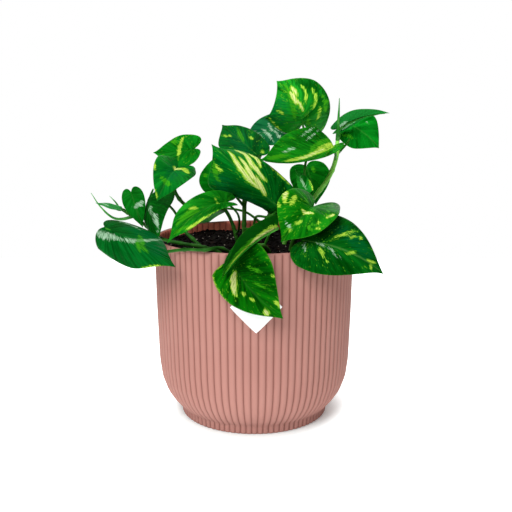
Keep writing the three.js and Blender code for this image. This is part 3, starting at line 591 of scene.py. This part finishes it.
def bladePoint(leaf, row, across, lift=0.0):  # row 0 to 1 from the collar, across -1 to 1
    row, across = np.broadcast_arrays(np.asarray(row, float), np.asarray(across, float))
    hand = (across >= 0).astype(int)
    sign, out = 2.0 * hand - 1, np.abs(across)
    x, y = outlineAt(leaf, row, hand)
    middle = row ** 1.25
    point, normal, right = midribAt(leaf, middle + (x - middle) * out)
    half = leaf["width"] / 2 * (1 - sign * leaf["skew"])
    bend = np.radians(np.array(leaf["curl"], float)[hand]) / half
    start = np.radians(np.array(leaf["fold"], float)[hand])
    end = start - bend * half * y * out
    point = point + right * (sign * (np.sin(start) - np.sin(end)) / bend)[..., None]
    rise = (np.cos(end) - np.cos(start)) / bend
    rise = rise + leaf["wave"] * np.sin(row * 17 + sign + leaf["width"]) * out ** 2 * y
    tilt = np.where((across == 0) | (y < 0.001), 0, end)
    point = point + normal * (rise + lift * np.cos(tilt))[..., None]
    return point - right * (sign * lift * np.sin(tilt))[..., None]


def insideMarks(leaf, points, tone):
    # How far inside the nearest mark of this tone each point is, in millimetres; marks narrow to both ends.
    found = np.full(len(points), -9.0)  # well outside every mark
    shares = np.linspace(0, 1, 24)
    for halfWidth, *places in leaf["marks"].get(tone, []):
        corners = np.reshape(places, (-1, 2)) / 100
        stops = shares * (len(corners) - 1)
        line = bladePoint(leaf, *(np.interp(stops, np.arange(len(corners)), column) for column in corners.T))
        gaps = np.linalg.norm(points[:, None] - line[None], axis=2)
        widths = halfWidth * (1.1 - np.abs(2 * shares - 1) ** 2.4)
        found = np.maximum(found, (widths[None] - gaps).max(1))
    return found


def veinStart(leaf, row, across):
    # Which side vein each point is on: side veins run from the midrib forwards to the outline.
    q = np.linspace(0, 1, 90)
    found = np.zeros(row.shape)
    for hand, here in enumerate((across <= 0, across > 0)):
        rows, out = row[here], np.abs(across[here])
        x, y = outlineAt(leaf, rows, hand)
        middle = rows ** 1.25
        x, y = middle + (x - middle) * out, y * out
        endX, endY = outlineAt(leaf, q, hand)
        gap = q ** 3 + (endX - q ** 3) * np.clip(y[:, None] / np.maximum(endY, 1e-4), 0, 1.2) - x[:, None]
        turns = (gap[:, :-1] <= 0) & (gap[:, 1:] > 0)
        last = len(q) - 2 - np.argmax(turns[:, ::-1], axis=1)
        index = np.arange(len(rows))
        before, after = gap[index, last], gap[index, last + 1]
        share = np.clip(-before / np.where(after == before, 1, after - before), 0, 1)
        found[here] = np.where(turns.any(1), q[last] + share * q[1], q[np.abs(gap).argmin(1)])
    return found


def bladeFaces(rows, columns):  # upper and lower skins and the margins; both ends close to a point
    index = np.arange((rows + 1) * (columns + 1)).reshape(rows + 1, columns + 1)
    index[0], index[-1] = index[0, 0], index[-1, 0]
    under = index + index.size
    faces = []
    for i in range(rows):
        for j in range(columns):
            faces.append([index[i, j], index[i, j + 1], index[i + 1, j + 1], index[i + 1, j]])
            faces.append([under[i, j], under[i + 1, j], under[i + 1, j + 1], under[i, j + 1]])
        faces.append([index[i, 0], index[i + 1, 0], under[i + 1, 0], under[i, 0]])
        faces.append([index[i, columns], under[i, columns], under[i + 1, columns], index[i + 1, columns]])
    faces = [list(dict.fromkeys(int(v) for v in face)) for face in faces]
    faces = [face for face in faces if len(face) > 2]
    used = sorted({v for face in faces for v in face})
    renamed = {v: k for k, v in enumerate(used)}
    return [[renamed[v] for v in face] for face in faces], used


def bladePart(leaf):
    build = leafBuild
    rows, columns = build["rows"], build["columns"]
    row, across = np.meshgrid(np.linspace(0, 1, rows + 1), np.linspace(-1, 1, columns + 1), indexing="ij")
    middle = bladePoint(leaf, row, across)
    along = veinStart(leaf, row, across) * np.linalg.norm(np.subtract(leaf["tip"], leaf["collar"]))
    reach = np.linalg.norm(middle - middle[:, columns // 2][:, None], axis=-1)
    out = np.abs(across)
    ends = np.clip(row / 0.06, 0, 1) * np.clip((1 - row) / 0.1, 0, 1)  # relief fades at collar and tip
    swell = np.sin(math.pi * along / build["veinSpacing"]) ** 2 * np.clip(4 * out * (1 - out), 0, 1)
    groove = np.exp(-(reach / build["grooveWidth"]) ** 2)
    relief = (build["quilt"] * swell - build["midribGroove"] * groove) * ends
    half = build["thickness"] / 2 * (1 - out ** 3) + build["marginThickness"] / 2 * out ** 3
    half = half * (0.5 + 0.5 * ends)
    skins = [bladePoint(leaf, row, across, relief + side * half).reshape(-1, 3) for side in (1, -1)]
    faces, used = bladeFaces(rows, columns)
    flat = middle.reshape(-1, 3)
    seed = np.full_like(along, leaf["look"]["seed"] * 3.7)
    place = np.stack([along, reach * np.sign(across), seed], -1).reshape(-1, 3)
    share = np.stack([row, out, np.zeros_like(row)], -1).reshape(-1, 3)
    inside = {tone: insideMarks(leaf, flat, tone) for tone, *_ in markLayers}
    inside["yellow"] = np.maximum(inside["yellow"], inside["cream"] + 0.8)  # cream marks have a yellow rim
    inside["lime"] = np.maximum(inside["lime"], inside["yellow"] + 0.45)
    values = {"veinPlace": np.tile(place, (2, 1)), "bladeShare": np.concatenate([share, share + [0, 0, 1]]),
              **{tone + "Inside": np.tile(value, 2) for tone, value in inside.items()}}
    return np.concatenate(skins)[used], faces, 0, {key: value[used] for key, value in values.items()}


def stalkPart(leaf):
    build = leafBuild
    foot, collar, tip = build["stalkFoot"], build["stalkCollar"], build["stalkTip"]
    under = []
    for share, drop in build["ribUnder"]:
        point, normal, right = midribAt(leaf, share)
        under.append(point - normal * drop)
    line = splinePoints([pointAt(vines[leaf["on"]], leaf["at"]), *leaf["via"], *under])
    line, length = evenly(line, max(12, int(lengthOf(line) / build["stalkStep"])))
    bladeLength = np.linalg.norm(np.subtract(leaf["tip"], leaf["collar"]))
    collarShare = 1 - build["ribUnder"][-1][0] * bladeLength / length
    share = np.linspace(0, 1, len(line))
    beyond = np.clip((share - collarShare) / (1 - collarShare), 0, 1)
    radii = np.where(share < collarShare, foot + (collar - foot) * (share / collarShare) ** 0.6,
                     collar + (tip - collar) * beyond ** 0.8)
    radii = radii * min(1.0, 0.55 + leaf["width"] / 90)  # small leaves have thinner stalks
    radii = radii + build["knee"] * np.exp(-(((share - collarShare) * length + 5) / 2.5) ** 2)
    return tubePart(line, radii, build["stalkSides"], 1)


# Leaf and stem materials

# shade scales all of a leaf's colours for the light it gets: below 1 where a leaf faces the lamps, above 1
# where it lies in shadow. This is painted light and shade.
leafLook = dict(shade=0.7, deep=(0, 74, 6), fresh=(4, 128, 16), under=(34, 108, 40), band=0.75, flecks=0.0,
                fleckSize=0.75, margin=0.35, midrib=0.14, gloss=0.34)
# pale is painted highlight: whitish streaks laid into the colour where a blade catches the light
leafTones = {
    "dark": (0, 50, 2), "teal": (0, 92, 46), "cream": (218, 228, 144), "yellow": (176, 214, 70),
    "lime": (62, 158, 20), "fleck": (96, 176, 30), "pale": (186, 224, 190), "margin": (60, 156, 30),
    "midrib": (84, 150, 66),
}
# dark and teal marks are painted shading over broad parts of a blade: dark is painted shade, teal painted
# light with a bluer green
markLayers = (  # tone, how far its edge wanders and how soft it is in millimetres, how far it covers
    ("dark", 8.0, 3.0, 0.6), ("teal", 8.0, 3.0, 0.6), ("pale", 3.6, 0.3, 0.7), ("lime", 2.6, 0.3, 0.85),
    ("yellow", 2.2, 0.3, 0.95), ("cream", 2.1, 0.3, 1.0))


def leafMaterial(name, look):
    material, tree, surface = newMaterial(name)
    tint = lambda share, colour, tone: mixColour(tree, share, colour, rgb(*leafTones[tone]))
    place = readAttribute(tree, "veinPlace", "Vector")
    blade = splitXyz(tree, readAttribute(tree, "bladeShare", "Vector"))
    veins = useGroup(tree, veinGroup, Place=place, Spacing=leafBuild["veinSpacing"])
    clouds = maths(tree, "MULTIPLY", remap(tree, noiseAt(tree, place, 0.07, 3.0), 0.35, 0.65), 0.45)
    amount = maths(tree, "MULTIPLY_ADD", veins["Band"], look["band"] * 0.7, clouds)
    colour = mixColour(tree, amount, rgb(*look["deep"]), rgb(*look["fresh"]))
    colour = mixColour(tree, maths(tree, "MULTIPLY", veins["Line"], 0.22), colour, rgb(*look["fresh"]))
    margin = remap(tree, blade[1], 0.95, 1.0)
    colour = tint(maths(tree, "MULTIPLY", margin, look["margin"]), colour, "margin")
    midrib = remap(tree, maths(tree, "ABSOLUTE", splitXyz(tree, place)[1]), 1.5, 0.1)
    colour = tint(maths(tree, "MULTIPLY", midrib, look["midrib"]), colour, "midrib")
    if look["flecks"]:
        flecks = useGroup(tree, fleckGroup, Place=place, Size=look["fleckSize"], Amount=look["flecks"],
                          Seed=float(look["seed"]))
        colour = tint(maths(tree, "MULTIPLY", flecks["Mask"], 0.75), colour, "fleck")
    colour = mixColour(tree, maths(tree, "MULTIPLY", blade[2], 0.6), colour, rgb(*look["under"]))
    # the dark, teal and pale layers are painted shade, light and highlight; the others are the leaf's own
    # variegation
    for tone, wobble, soft, cover in markLayers:
        inside = readAttribute(tree, tone + "Inside")
        mask = useGroup(tree, paintGroup, Inside=inside, Place=place, Wobble=wobble, Soft=soft)["Mask"]
        paint = [value * look["shade"] ** -0.25 for value in rgb(*leafTones[tone])]  # marks dim less
        colour = mixColour(tree, maths(tree, "MULTIPLY", mask, cover), colour, paint)
    # painted light and shade: the colour scaled by the leaf's shade
    shaded = addNode(tree, "ShaderNodeVectorMath", {0: colour, 3: look["shade"]}, operation="SCALE")
    rough = maths(tree, "MULTIPLY_ADD", veins["Band"], 0.1, look["gloss"])
    connect(tree, surface, {
        "Base Color": shaded.outputs[0], "Roughness": maths(tree, "MULTIPLY_ADD", blade[2], 0.2, rough),
        "Specular IOR Level": 0.02, "Specular Tint": (0.08, 0.7, 0.2, 1),
        "Normal": bump(tree, veins["Height"], 0.4, 0.0006)})
    return material


stemLooks = {
    "stalk": dict(foot=(40, 108, 26), tip=(22, 108, 18), streak=(78, 148, 56), gloss=0.42),
    "vine": dict(foot=(26, 76, 20), tip=(70, 138, 44), streak=(104, 162, 74), gloss=0.45),
    "youngVine": dict(foot=(40, 122, 26), tip=(136, 214, 84), streak=(150, 222, 110), gloss=0.45),
    "thinVine": dict(foot=(18, 58, 14), tip=(36, 98, 24), streak=(60, 124, 40), gloss=0.45),
    "youngLeaf": dict(foot=(14, 92, 14), tip=(52, 138, 50), streak=(100, 170, 86), gloss=0.4),
}


def stemMaterial(name, look):
    material, tree, surface = newMaterial(name)
    grain = useGroup(tree, grainGroup, Place=objectPlace(tree), Scale=600.0, Mottle=70.0)
    colour = mixColour(tree, readAttribute(tree, "stemShare"), rgb(*look["foot"]), rgb(*look["tip"]))
    streaks = remap(tree, grain["Cloud"], 0.45, 0.7, 0.0, 0.7)
    connect(tree, surface, {
        "Base Color": mixColour(tree, streaks, colour, rgb(*look["streak"])),
        "Roughness": maths(tree, "MULTIPLY_ADD", grain["Cloud"], 0.2, look["gloss"] - 0.1),
        "Specular IOR Level": 0.07, "Normal": bump(tree, grain["Grain"], 0.2, 0.0002)})
    return material


stemGreens = {name: stemMaterial(name + "Green", look) for name, look in stemLooks.items()}


def nodeName(start, name):
    return start + "_" + "".join("_" + c.lower() if c.isupper() else c for c in name)


def pieceName(start, name):
    return start + name[0].upper() + name[1:]


for name, values in leaves.items():
    leaf = {**leafShape, **values, "look": {**leafLook, **values["look"]}}
    materials = [leafMaterial(pieceName("blade", name), leaf["look"]), stemGreens["stalk"]]
    makePiece(pieceName("leaf", name), [bladePart(leaf), stalkPart(leaf)], materials, "leaf",
              nodeName("leaf", name))
print("leaves made:", len(leaves))


# Vines and rolled young leaves

vineBuild = {
    "radius": 2.0, "sides": 20, "step": 0.8, "nodeSpacing": 21.0, "nodeSwell": 0.4, "nodeWidth": 1.6,
    "groove": 0.05,
}
vineRadii = {"left": 1.6, "lowLeft": 1.5, "overRim": 1.4, "rimLeft": 1.5}  # the others have the one above
rolledBuild = {"points": 60, "sides": 24, "seam": 0.16}  # the seam is the roll's free edge
rolledLeaves = {
    "top": dict(on="right", at=1, points=[[75, 4, 258], [75.5, 4, 272], [76, 6, 287]], radius=1.8),
    "left": dict(on="lowLeft", at=0.88, radius=1.4,
                 points=[[-115.5, -25, 183], [-123.5, -26, 184.5], [-134, -26, 194], [-142, -25, 206]]),
    "small": dict(on="lowLeft", at=1, points=[[-121, -22, 197], [-126.5, -22, 203]], radius=0.9),
}


def vinePart(points, radius):
    build = vineBuild
    line = splinePoints(points)
    line, length = evenly(line, int(lengthOf(line) / build["step"]))
    reach = np.linspace(0, length, len(line))
    gap = np.abs((reach / build["nodeSpacing"] - 0.667 + 0.5) % 1 - 0.5) * build["nodeSpacing"]
    swell = build["nodeSwell"] * np.exp(-(gap / build["nodeWidth"]) ** 2)
    radii = (radius + swell) * np.minimum(1, 4 * (1.2 - reach / length))
    groove = lambda turns, share: 1 - build["groove"] * np.exp(-((turns - 2.0) / 0.35) ** 2)
    return tubePart(line, radii, build["sides"], 0, groove)


def rolledPart(rolled):
    build = rolledBuild
    foot = pointAt(vines[rolled["on"]], rolled["at"])
    line, length = evenly(splinePoints([foot, *rolled["points"]]), build["points"])
    radii = rolled["radius"] * (1.12 - np.linspace(0, 1, build["points"])) ** 0.9
    seam = lambda turns, share: 1 + build["seam"] * (((turns + share * 9) / (2 * math.pi)) % 1 - 0.5)
    return tubePart(line, radii, build["sides"], 0, seam)


for name, points in vines.items():
    green = stemGreens["thinVine" if name in vineRadii else "youngVine" if name == "right" else "vine"]
    vine = vinePart(points, vineRadii.get(name, vineBuild["radius"]))
    makePiece(pieceName("vine", name), [vine], [green], "vine", nodeName("vine", name))
for name, rolled in rolledLeaves.items():
    makePiece(pieceName("rolledLeaf", name), [rolledPart(rolled)], [stemGreens["youngLeaf"]], "vine",
              nodeName("rolled_leaf", name))
print("vines made:", len(vines))


# Pot

potBuild = {
    "height": 164.5, "ribs": 86, "ribTurn": math.radians(2.52), "stepsPerRib": 8, "ribCurve": 0.93,
    "ribDepth": 1.2, "innerRibDepth": 0.8, "wall": 3.2, "floor": 4.0, "ribsDownTo": 140, "crestTop": 162.8,
    # radius of the rib crests at each height
    "crest": [[0, 67.6], [8.5, 68], [10, 70.6], [15, 75.4], [24, 81.4], [36, 85.7], [52, 87.8], [100, 89.3],
              [162.8, 90.4]],
}
# The groove colour is painted shade, laid into the narrow grooves between the ribs.
potLook = {
    # The inside colour is painted light: the inner wall is coloured lighter and warmer than the outside.
    "body": (164, 117, 108), "groove": (84, 36, 28), "cloud": (160, 113, 104), "inside": (208, 116, 98),
    "rough": 0.6,
}


def crestRadius(z):
    heights, radii = zip(*potBuild["crest"])
    return float(np.interp(z, heights, radii))


def smoothCrest(z):  # the crest line with its corners eased
    steps = (-1.6, -0.8, 0, 0.8, 1.6)
    return float(np.mean([crestRadius(min(max(z + d, 0), potBuild["crestTop"])) for d in steps]))


def cavity(z):  # the pot's inner radius, at its inner ribs and below them
    return crestRadius(z) - potBuild["ribDepth"] - potBuild["wall"] + potBuild["innerRibDepth"]


def ribShape(turns):  # 1 on a rib's crest, 0 in the narrow groove beside it
    phase = ((turns - potBuild["ribTurn"]) * potBuild["ribs"] / (2 * math.pi)) % 1
    low = math.sqrt(1 - potBuild["ribCurve"])
    return (np.sqrt(1 - potBuild["ribCurve"] * (2 * phase - 1) ** 2) - low) / (1 - low)


def potPart():
    build = potBuild
    count = build["ribs"] * build["stepsPerRib"]
    turns = np.arange(count) * 2 * math.pi / count + build["ribTurn"]
    ribs = ribShape(turns)
    deep, inDeep, top, rim = build["ribDepth"], build["innerRibDepth"], build["height"], build["crest"][-1][1]
    floor, low = build["floor"], build["ribsDownTo"]
    # each ring: height, radius at the crest, how deep the grooves go, painted shade in the grooves
    rings = [(0.5, 20, 0, 0), (0, 55, 0, 0), (0, 64, 0, 0), (0.1, 66.4, 0.6, 0), (0.5, 67.2, 1.0, 0.4)]
    heights = [*np.arange(1.2, 14, 0.9), *np.arange(14, 56, 2.0), *np.arange(56, 160, 6.5), 160.5]
    rings += [(z, smoothCrest(z), deep, 1) for z in heights]
    rings += [(162.4, rim - 0.05, deep, 1), (163.4, rim - 0.3, 0.95, 0.8), (164.1, rim - 0.9, 0.6, 0.4),
              (top, rim - 1.7, 0.2, 0)]
    inner = cavity(top) + inDeep
    rings += [(top, inner + 1.4, 0, 0), (top - 0.3, inner + 0.5, -0.2, 0.2),
              (top - 1.1, inner + 0.1, -0.6, 0.8)]
    # The inside colour is painted light on the inner wall.
    firstInside = len(rings) - 1  # from this ring on, the pot has its inside colour
    rings += [(z, cavity(z) + inDeep, -inDeep, 1) for z in (161, 158, 155, 152, 148, low)]
    rings += [(low - 0.5, cavity(139), 0, 0)] + [(z, cavity(z), 0, 0) for z in (100, 52, 36, 24, 15, 10)]
    rings += [(floor + 1, cavity(8) - 1, 0, 0), (floor, cavity(8) - 3, 0, 0), (floor, 20, 0, 0)]
    points, shade = [], []
    for z, radius, depth, tint in rings:
        # outside, a groove cuts in; inside, the wall swells inwards between grooves
        out = radius - depth * (1 - ribs) if depth >= 0 else radius + depth * ribs
        points.append(np.stack([out * np.sin(turns), -out * np.cos(turns), np.full(count, z)], 1))
        shade.append((1 - ribs) * tint)
    inside = np.repeat(np.arange(len(rings)) >= firstInside, count).astype(float)
    points.append([[0, 0, 0.5], [0, 0, floor]])
    return np.concatenate(points), ringFaces(len(rings), count), 0, {
        "groove": np.concatenate(shade + [[0, 0]]), "inside": np.append(inside, [0, 1])}


def potMaterial():
    material, tree, surface = newMaterial("pinkPlastic")
    body, cloud, inside, groove = (rgb(*potLook[key]) for key in ("body", "cloud", "inside", "groove"))
    grain = useGroup(tree, grainGroup, Place=objectPlace(tree), Scale=1400.0, Mottle=22.0)
    colour = mixColour(tree, remap(tree, grain["Cloud"], 0.4, 0.65, 0.0, 0.6), body, cloud)
    # painted light: the inner wall gets its lighter, warmer colour
    colour = mixColour(tree, readAttribute(tree, "inside"), colour, inside)
    # painted shade: the grooves darkened towards the groove colour
    deep = maths(tree, "MULTIPLY", maths(tree, "POWER", readAttribute(tree, "groove"), 1.8), 0.72)
    connect(tree, surface, {
        "Base Color": mixColour(tree, deep, colour, groove),
        "Roughness": maths(tree, "MULTIPLY_ADD", grain["Cloud"], 0.12, potLook["rough"] - 0.06),
        "Specular IOR Level": 0.04, "Normal": bump(tree, grain["Grain"], 0.12, 0.0002)})
    return material


makePiece("ribbedPot", [potPart()], [potMaterial()], "pot_plastic", "pot")
print("pot made")


# Potting mix

soilBuild = {
    "top": 156.0, "hump": 0.9, "rings": 60, "segments": 240, "relief": 0.9, "edgeGap": 0.5,
    "lumpInset": 5.5,  # how far inside the rib crests the lumps stay
    # how many of each lump, their sizes, how much longer than wide they may be, and their seed
    "mixCrumbs": (900, (0.7, 2.0), 1.4, 11), "mixGrains": (110, (0.4, 1.0), 1.2, 12),
    "barkChips": (40, (1.2, 2.2), 2.4, 13),
}
soilLooks = {  # dark and light tone, roughness
    "darkMix": ((5, 3, 3), (18, 12, 9), 0.9), "paleGrains": ((170, 164, 150), (150, 142, 128), 0.8),
    "bark": ((36, 24, 16), (18, 12, 9), 0.85),
}


def soilHeight(x, y):
    hump = math.sin(x / 9 + 1) * math.cos(y / 11) + 0.5 * math.sin((x + 2 * y) / 13)
    rough = noise.noise(Vector((x / 3.1, y / 3.1, 1))) + 0.6 * noise.noise(Vector((x / 1.4, y / 1.4, 5)))
    return soilBuild["top"] + soilBuild["hump"] * hump + soilBuild["relief"] * rough


def soilPart():
    build = soilBuild
    count, gap = build["segments"], build["edgeGap"]
    turns = np.arange(count) * 2 * math.pi / count
    points = []
    for z in (20, 60, 110, 150):
        out = cavity(z) - gap - 0.2  # the sides stand back a little more than the top's edge
        points += [[out * math.sin(t), -out * math.cos(t), z] for t in turns]
    for radius in (cavity(build["top"]) - gap) * np.linspace(1, 0, build["rings"] + 1)[:-1]:
        for t in turns:
            x, y = radius * math.sin(t), -radius * math.cos(t)
            points.append([x, y, soilHeight(x, y)])
    faces = ringFaces(len(points) // count, count)
    return np.array(points + [[0, 0, 20], [0, 0, soilHeight(0, 0)]]), faces, 0, {}


def roundLump():
    made = bmesh.new()
    bmesh.ops.create_icosphere(made, subdivisions=1, radius=1)
    points = np.array([v.co for v in made.verts])
    faces = [[v.index for v in face.verts] for face in made.faces]
    made.free()
    return points, faces


def turned(points, angle, first, second):  # turned by an angle in the plane of two axes
    made = points.copy()
    made[:, first] = points[:, first] * math.cos(angle) - points[:, second] * math.sin(angle)
    made[:, second] = points[:, first] * math.sin(angle) + points[:, second] * math.cos(angle)
    return made


def scattered(count, sizes, stretch, seed):
    # Lumps pressed into the surface, each one squashed, turned and dented its own way.
    draw = random.Random(seed)
    lump, lumpFaces = roundLump()
    points, faces = [], []
    edge = crestRadius(soilBuild["top"]) - soilBuild["lumpInset"]
    for k in range(count):
        radius, turn = edge * math.sqrt(draw.random()), draw.uniform(0, 2 * math.pi)
        x, y = radius * math.sin(turn), -radius * math.cos(turn)
        size = draw.uniform(*sizes)
        scale = size * np.array([draw.uniform(1, stretch), draw.uniform(0.7, 1.1), draw.uniform(0.5, 0.8)])
        dents = np.array([1 + 0.35 * noise.noise(Vector(p) * 1.7 + Vector((k, seed, 0))) for p in lump])
        around, tilt = draw.uniform(0, 2 * math.pi), draw.uniform(-0.5, 0.5)
        shaped = turned(turned(lump * dents[:, None] * scale, tilt, 0, 2), around, 0, 1)
        faces += [[k * len(lump) + v for v in face] for face in lumpFaces]
        points.append(shaped + [x, y, soilHeight(x, y) + scale[2] * 0.25])
    return np.concatenate(points), faces, 0, {}


def earthMaterial(name, dark, light, rough):
    material, tree, surface = newMaterial(name)
    grain = useGroup(tree, grainGroup, Place=objectPlace(tree), Scale=1500.0, Mottle=260.0)
    connect(tree, surface, {
        "Base Color": mixColour(tree, remap(tree, grain["Cloud"], 0.4, 0.65), rgb(*dark), rgb(*light)),
        "Roughness": maths(tree, "MULTIPLY_ADD", grain["Grain"], 0.2, rough - 0.1),
        "Specular IOR Level": 0.05, "Normal": bump(tree, grain["Grain"], 0.8, 0.0008)})
    return material


earth = {name: earthMaterial(name, *look) for name, look in soilLooks.items()}
makePiece("pottingMix", [soilPart()], [earth["darkMix"]], "potting_mix", "soil")
for name, look in (("mixCrumbs", "darkMix"), ("mixGrains", "paleGrains"), ("barkChips", "bark")):
    makePiece(name, [scattered(*soilBuild[name])], [earth[look]], "potting_mix")
print("potting mix made")


# Card on the pot's front

labelBuild = {"side": 31.0, "thickness": 0.5, "height": 120.0, "offset": 2.0, "gap": 0.3, "cells": 40}


def labelPart():
    build = labelBuild
    cells = build["cells"]
    half = build["side"] / math.sqrt(2)
    grid = []
    for lift in (build["thickness"], 0.0):
        for i in range(cells + 1):
            for j in range(cells + 1):
                u, v = 2 * i / cells - 1, 2 * j / cells - 1
                pull = 1 - 0.018 * max(0, abs(u) + abs(v) - 1.7) / 0.3  # rounds the corners
                u, v = u * pull, v * pull
                across, z = half * (u + v) / 2, build["height"] + half * (u - v) / 2
                press = 0.06 * math.cos(build["offset"] + across * potBuild["ribs"] / crestRadius(z))
                radius = crestRadius(z) + build["gap"] + lift + press + 0.5 * max(0, abs(u + v) - 1.5) ** 2
                turn = (build["offset"] + across) / radius
                grid.append([radius * math.sin(turn), -radius * math.cos(turn), z])
    top = np.arange((cells + 1) ** 2).reshape(cells + 1, cells + 1)
    under = top + top.size
    faces = []
    for i in range(cells):
        for j in range(cells):
            faces.append([top[i, j], top[i + 1, j], top[i + 1, j + 1], top[i, j + 1]])
            faces.append([under[i, j], under[i, j + 1], under[i + 1, j + 1], under[i + 1, j]])
        faces += [[top[i, 0], under[i, 0], under[i + 1, 0], top[i + 1, 0]],
                  [top[i, cells], top[i + 1, cells], under[i + 1, cells], under[i, cells]],
                  [top[0, i], top[0, i + 1], under[0, i + 1], under[0, i]],
                  [top[cells, i], under[cells, i], under[cells, i + 1], top[cells, i + 1]]]
    return np.array(grid), np.array(faces).tolist(), 0, {}


def cardMaterial():
    material, tree, surface = newMaterial("whiteCard")
    grain = useGroup(tree, grainGroup, Place=objectPlace(tree), Scale=2200.0, Mottle=300.0)
    connect(tree, surface, {
        "Base Color": mixColour(tree, grain["Cloud"], rgb(250, 250, 248), rgb(240, 240, 238)),
        "Roughness": maths(tree, "MULTIPLY_ADD", grain["Grain"], 0.15, 0.42),
        "Normal": bump(tree, grain["Grain"], 0.1, 0.0001)})
    return material


makePiece("bareCard", [labelPart()], [cardMaterial()], "label_paper", "label")
print("card made")


# Floor, light and camera

# footGlow, glowFrom and glowTo shape the floor's glow: painted light on the floor and a painted shadow round
# the pot's foot
studio = {
    "floorSize": 0.7, "floorColour": (236, 250, 250), "footGlow": 0.17, "glowFrom": 0.066, "glowTo": 0.1,
    "worldLight": 0.16, "worldTint": (1, 0.86, 0.82, 1), "aim": (0, 0, 0.14),
}
lights = {  # power, place, size, tint
    "keyLight": (24.0, (-0.42, -1.18, 1.1), 0.8, (1, 1, 1)),
    "topLight": (15.0, (-0.3, -0.05, 1.5), 1.0, (1, 1, 1)),
    "fillLight": (0.5, (1.1, -1.0, 0.5), 0.9, (1, 0.78, 0.72)),
    "backLight": (6.0, (0.35, 1.25, 0.75), 1.0, (1, 1, 1)),
}
view = {
    "place": (0.0018, -0.72, 0.2886), "downwards": math.radians(11.28), "lens": 56.3, "sensor": 36.0,
    "nearest": 0.01,
}
scene = bpy.context.scene


def addObject(name, data, place):
    made = bpy.data.objects.new(name, data)
    scene.collection.objects.link(made)
    made.location = place
    return made


def addFloor():
    # The floor glows: dimmer near the pot's foot and full white from glowTo outwards, so shadow shows only
    # close to the foot. This is painted light with a painted shadow round the foot; the cyan tint cancels the
    # pink light the pot throws onto the floor.
    material, tree, surface = newMaterial("paleFloor")
    reach = addNode(tree, "ShaderNodeVectorMath", {0: objectPlace(tree)}, operation="LENGTH").outputs["Value"]
    connect(tree, surface, {
        "Base Color": rgb(*studio["floorColour"]), "Roughness": 0.9, "Emission Strength": 1.0,
        "Emission Color": remap(tree, reach, studio["glowFrom"], studio["glowTo"], studio["footGlow"], 1.0)})
    size = studio["floorSize"]
    mesh = bpy.data.meshes.new("studioFloor")
    corners = [(-size, -size, 0), (size, -size, 0), (size, size, 0), (-size, size, 0)]
    mesh.from_pydata(corners, [], [(0, 1, 2, 3)])
    mesh.materials.append(material)
    floor = addObject("studioFloor", mesh, (0, 0, -0.0003))


def addWorld():
    world = bpy.data.worlds.new("studioWorld")
    world.use_nodes = True
    tree = world.node_tree
    tree.nodes.clear()
    seen = addNode(tree, "ShaderNodeLightPath").outputs["Is Camera Ray"]
    background = addNode(tree, "ShaderNodeBackground", {
        0: mixColour(tree, seen, studio["worldTint"], (1, 1, 1, 1)),
        1: remap(tree, seen, 0.0, 1.0, studio["worldLight"], 1.0)})
    tree.links.new(background.outputs[0], tree.nodes.new("ShaderNodeOutputWorld").inputs[0])
    scene.world = world


addFloor()
addWorld()
for name, (power, place, size, tint) in lights.items():
    light = bpy.data.lights.new(name, "AREA")
    light.color, light.energy, light.size = tint, power, size
    lamp = addObject(name, light, place)
    lamp.rotation_euler = (Vector(studio["aim"]) - Vector(place)).to_track_quat("-Z", "Y").to_euler()

camera = addObject("photoCamera", bpy.data.cameras.new("photoCamera"), view["place"])
camera.rotation_euler = (math.radians(90) - view["downwards"], 0, 0)
camera.data.sensor_width = view["sensor"]
camera.data.lens = view["lens"]
camera.data.clip_start = view["nearest"]
scene.camera = camera
scene.view_settings.view_transform = "Standard"
print("studio ready")
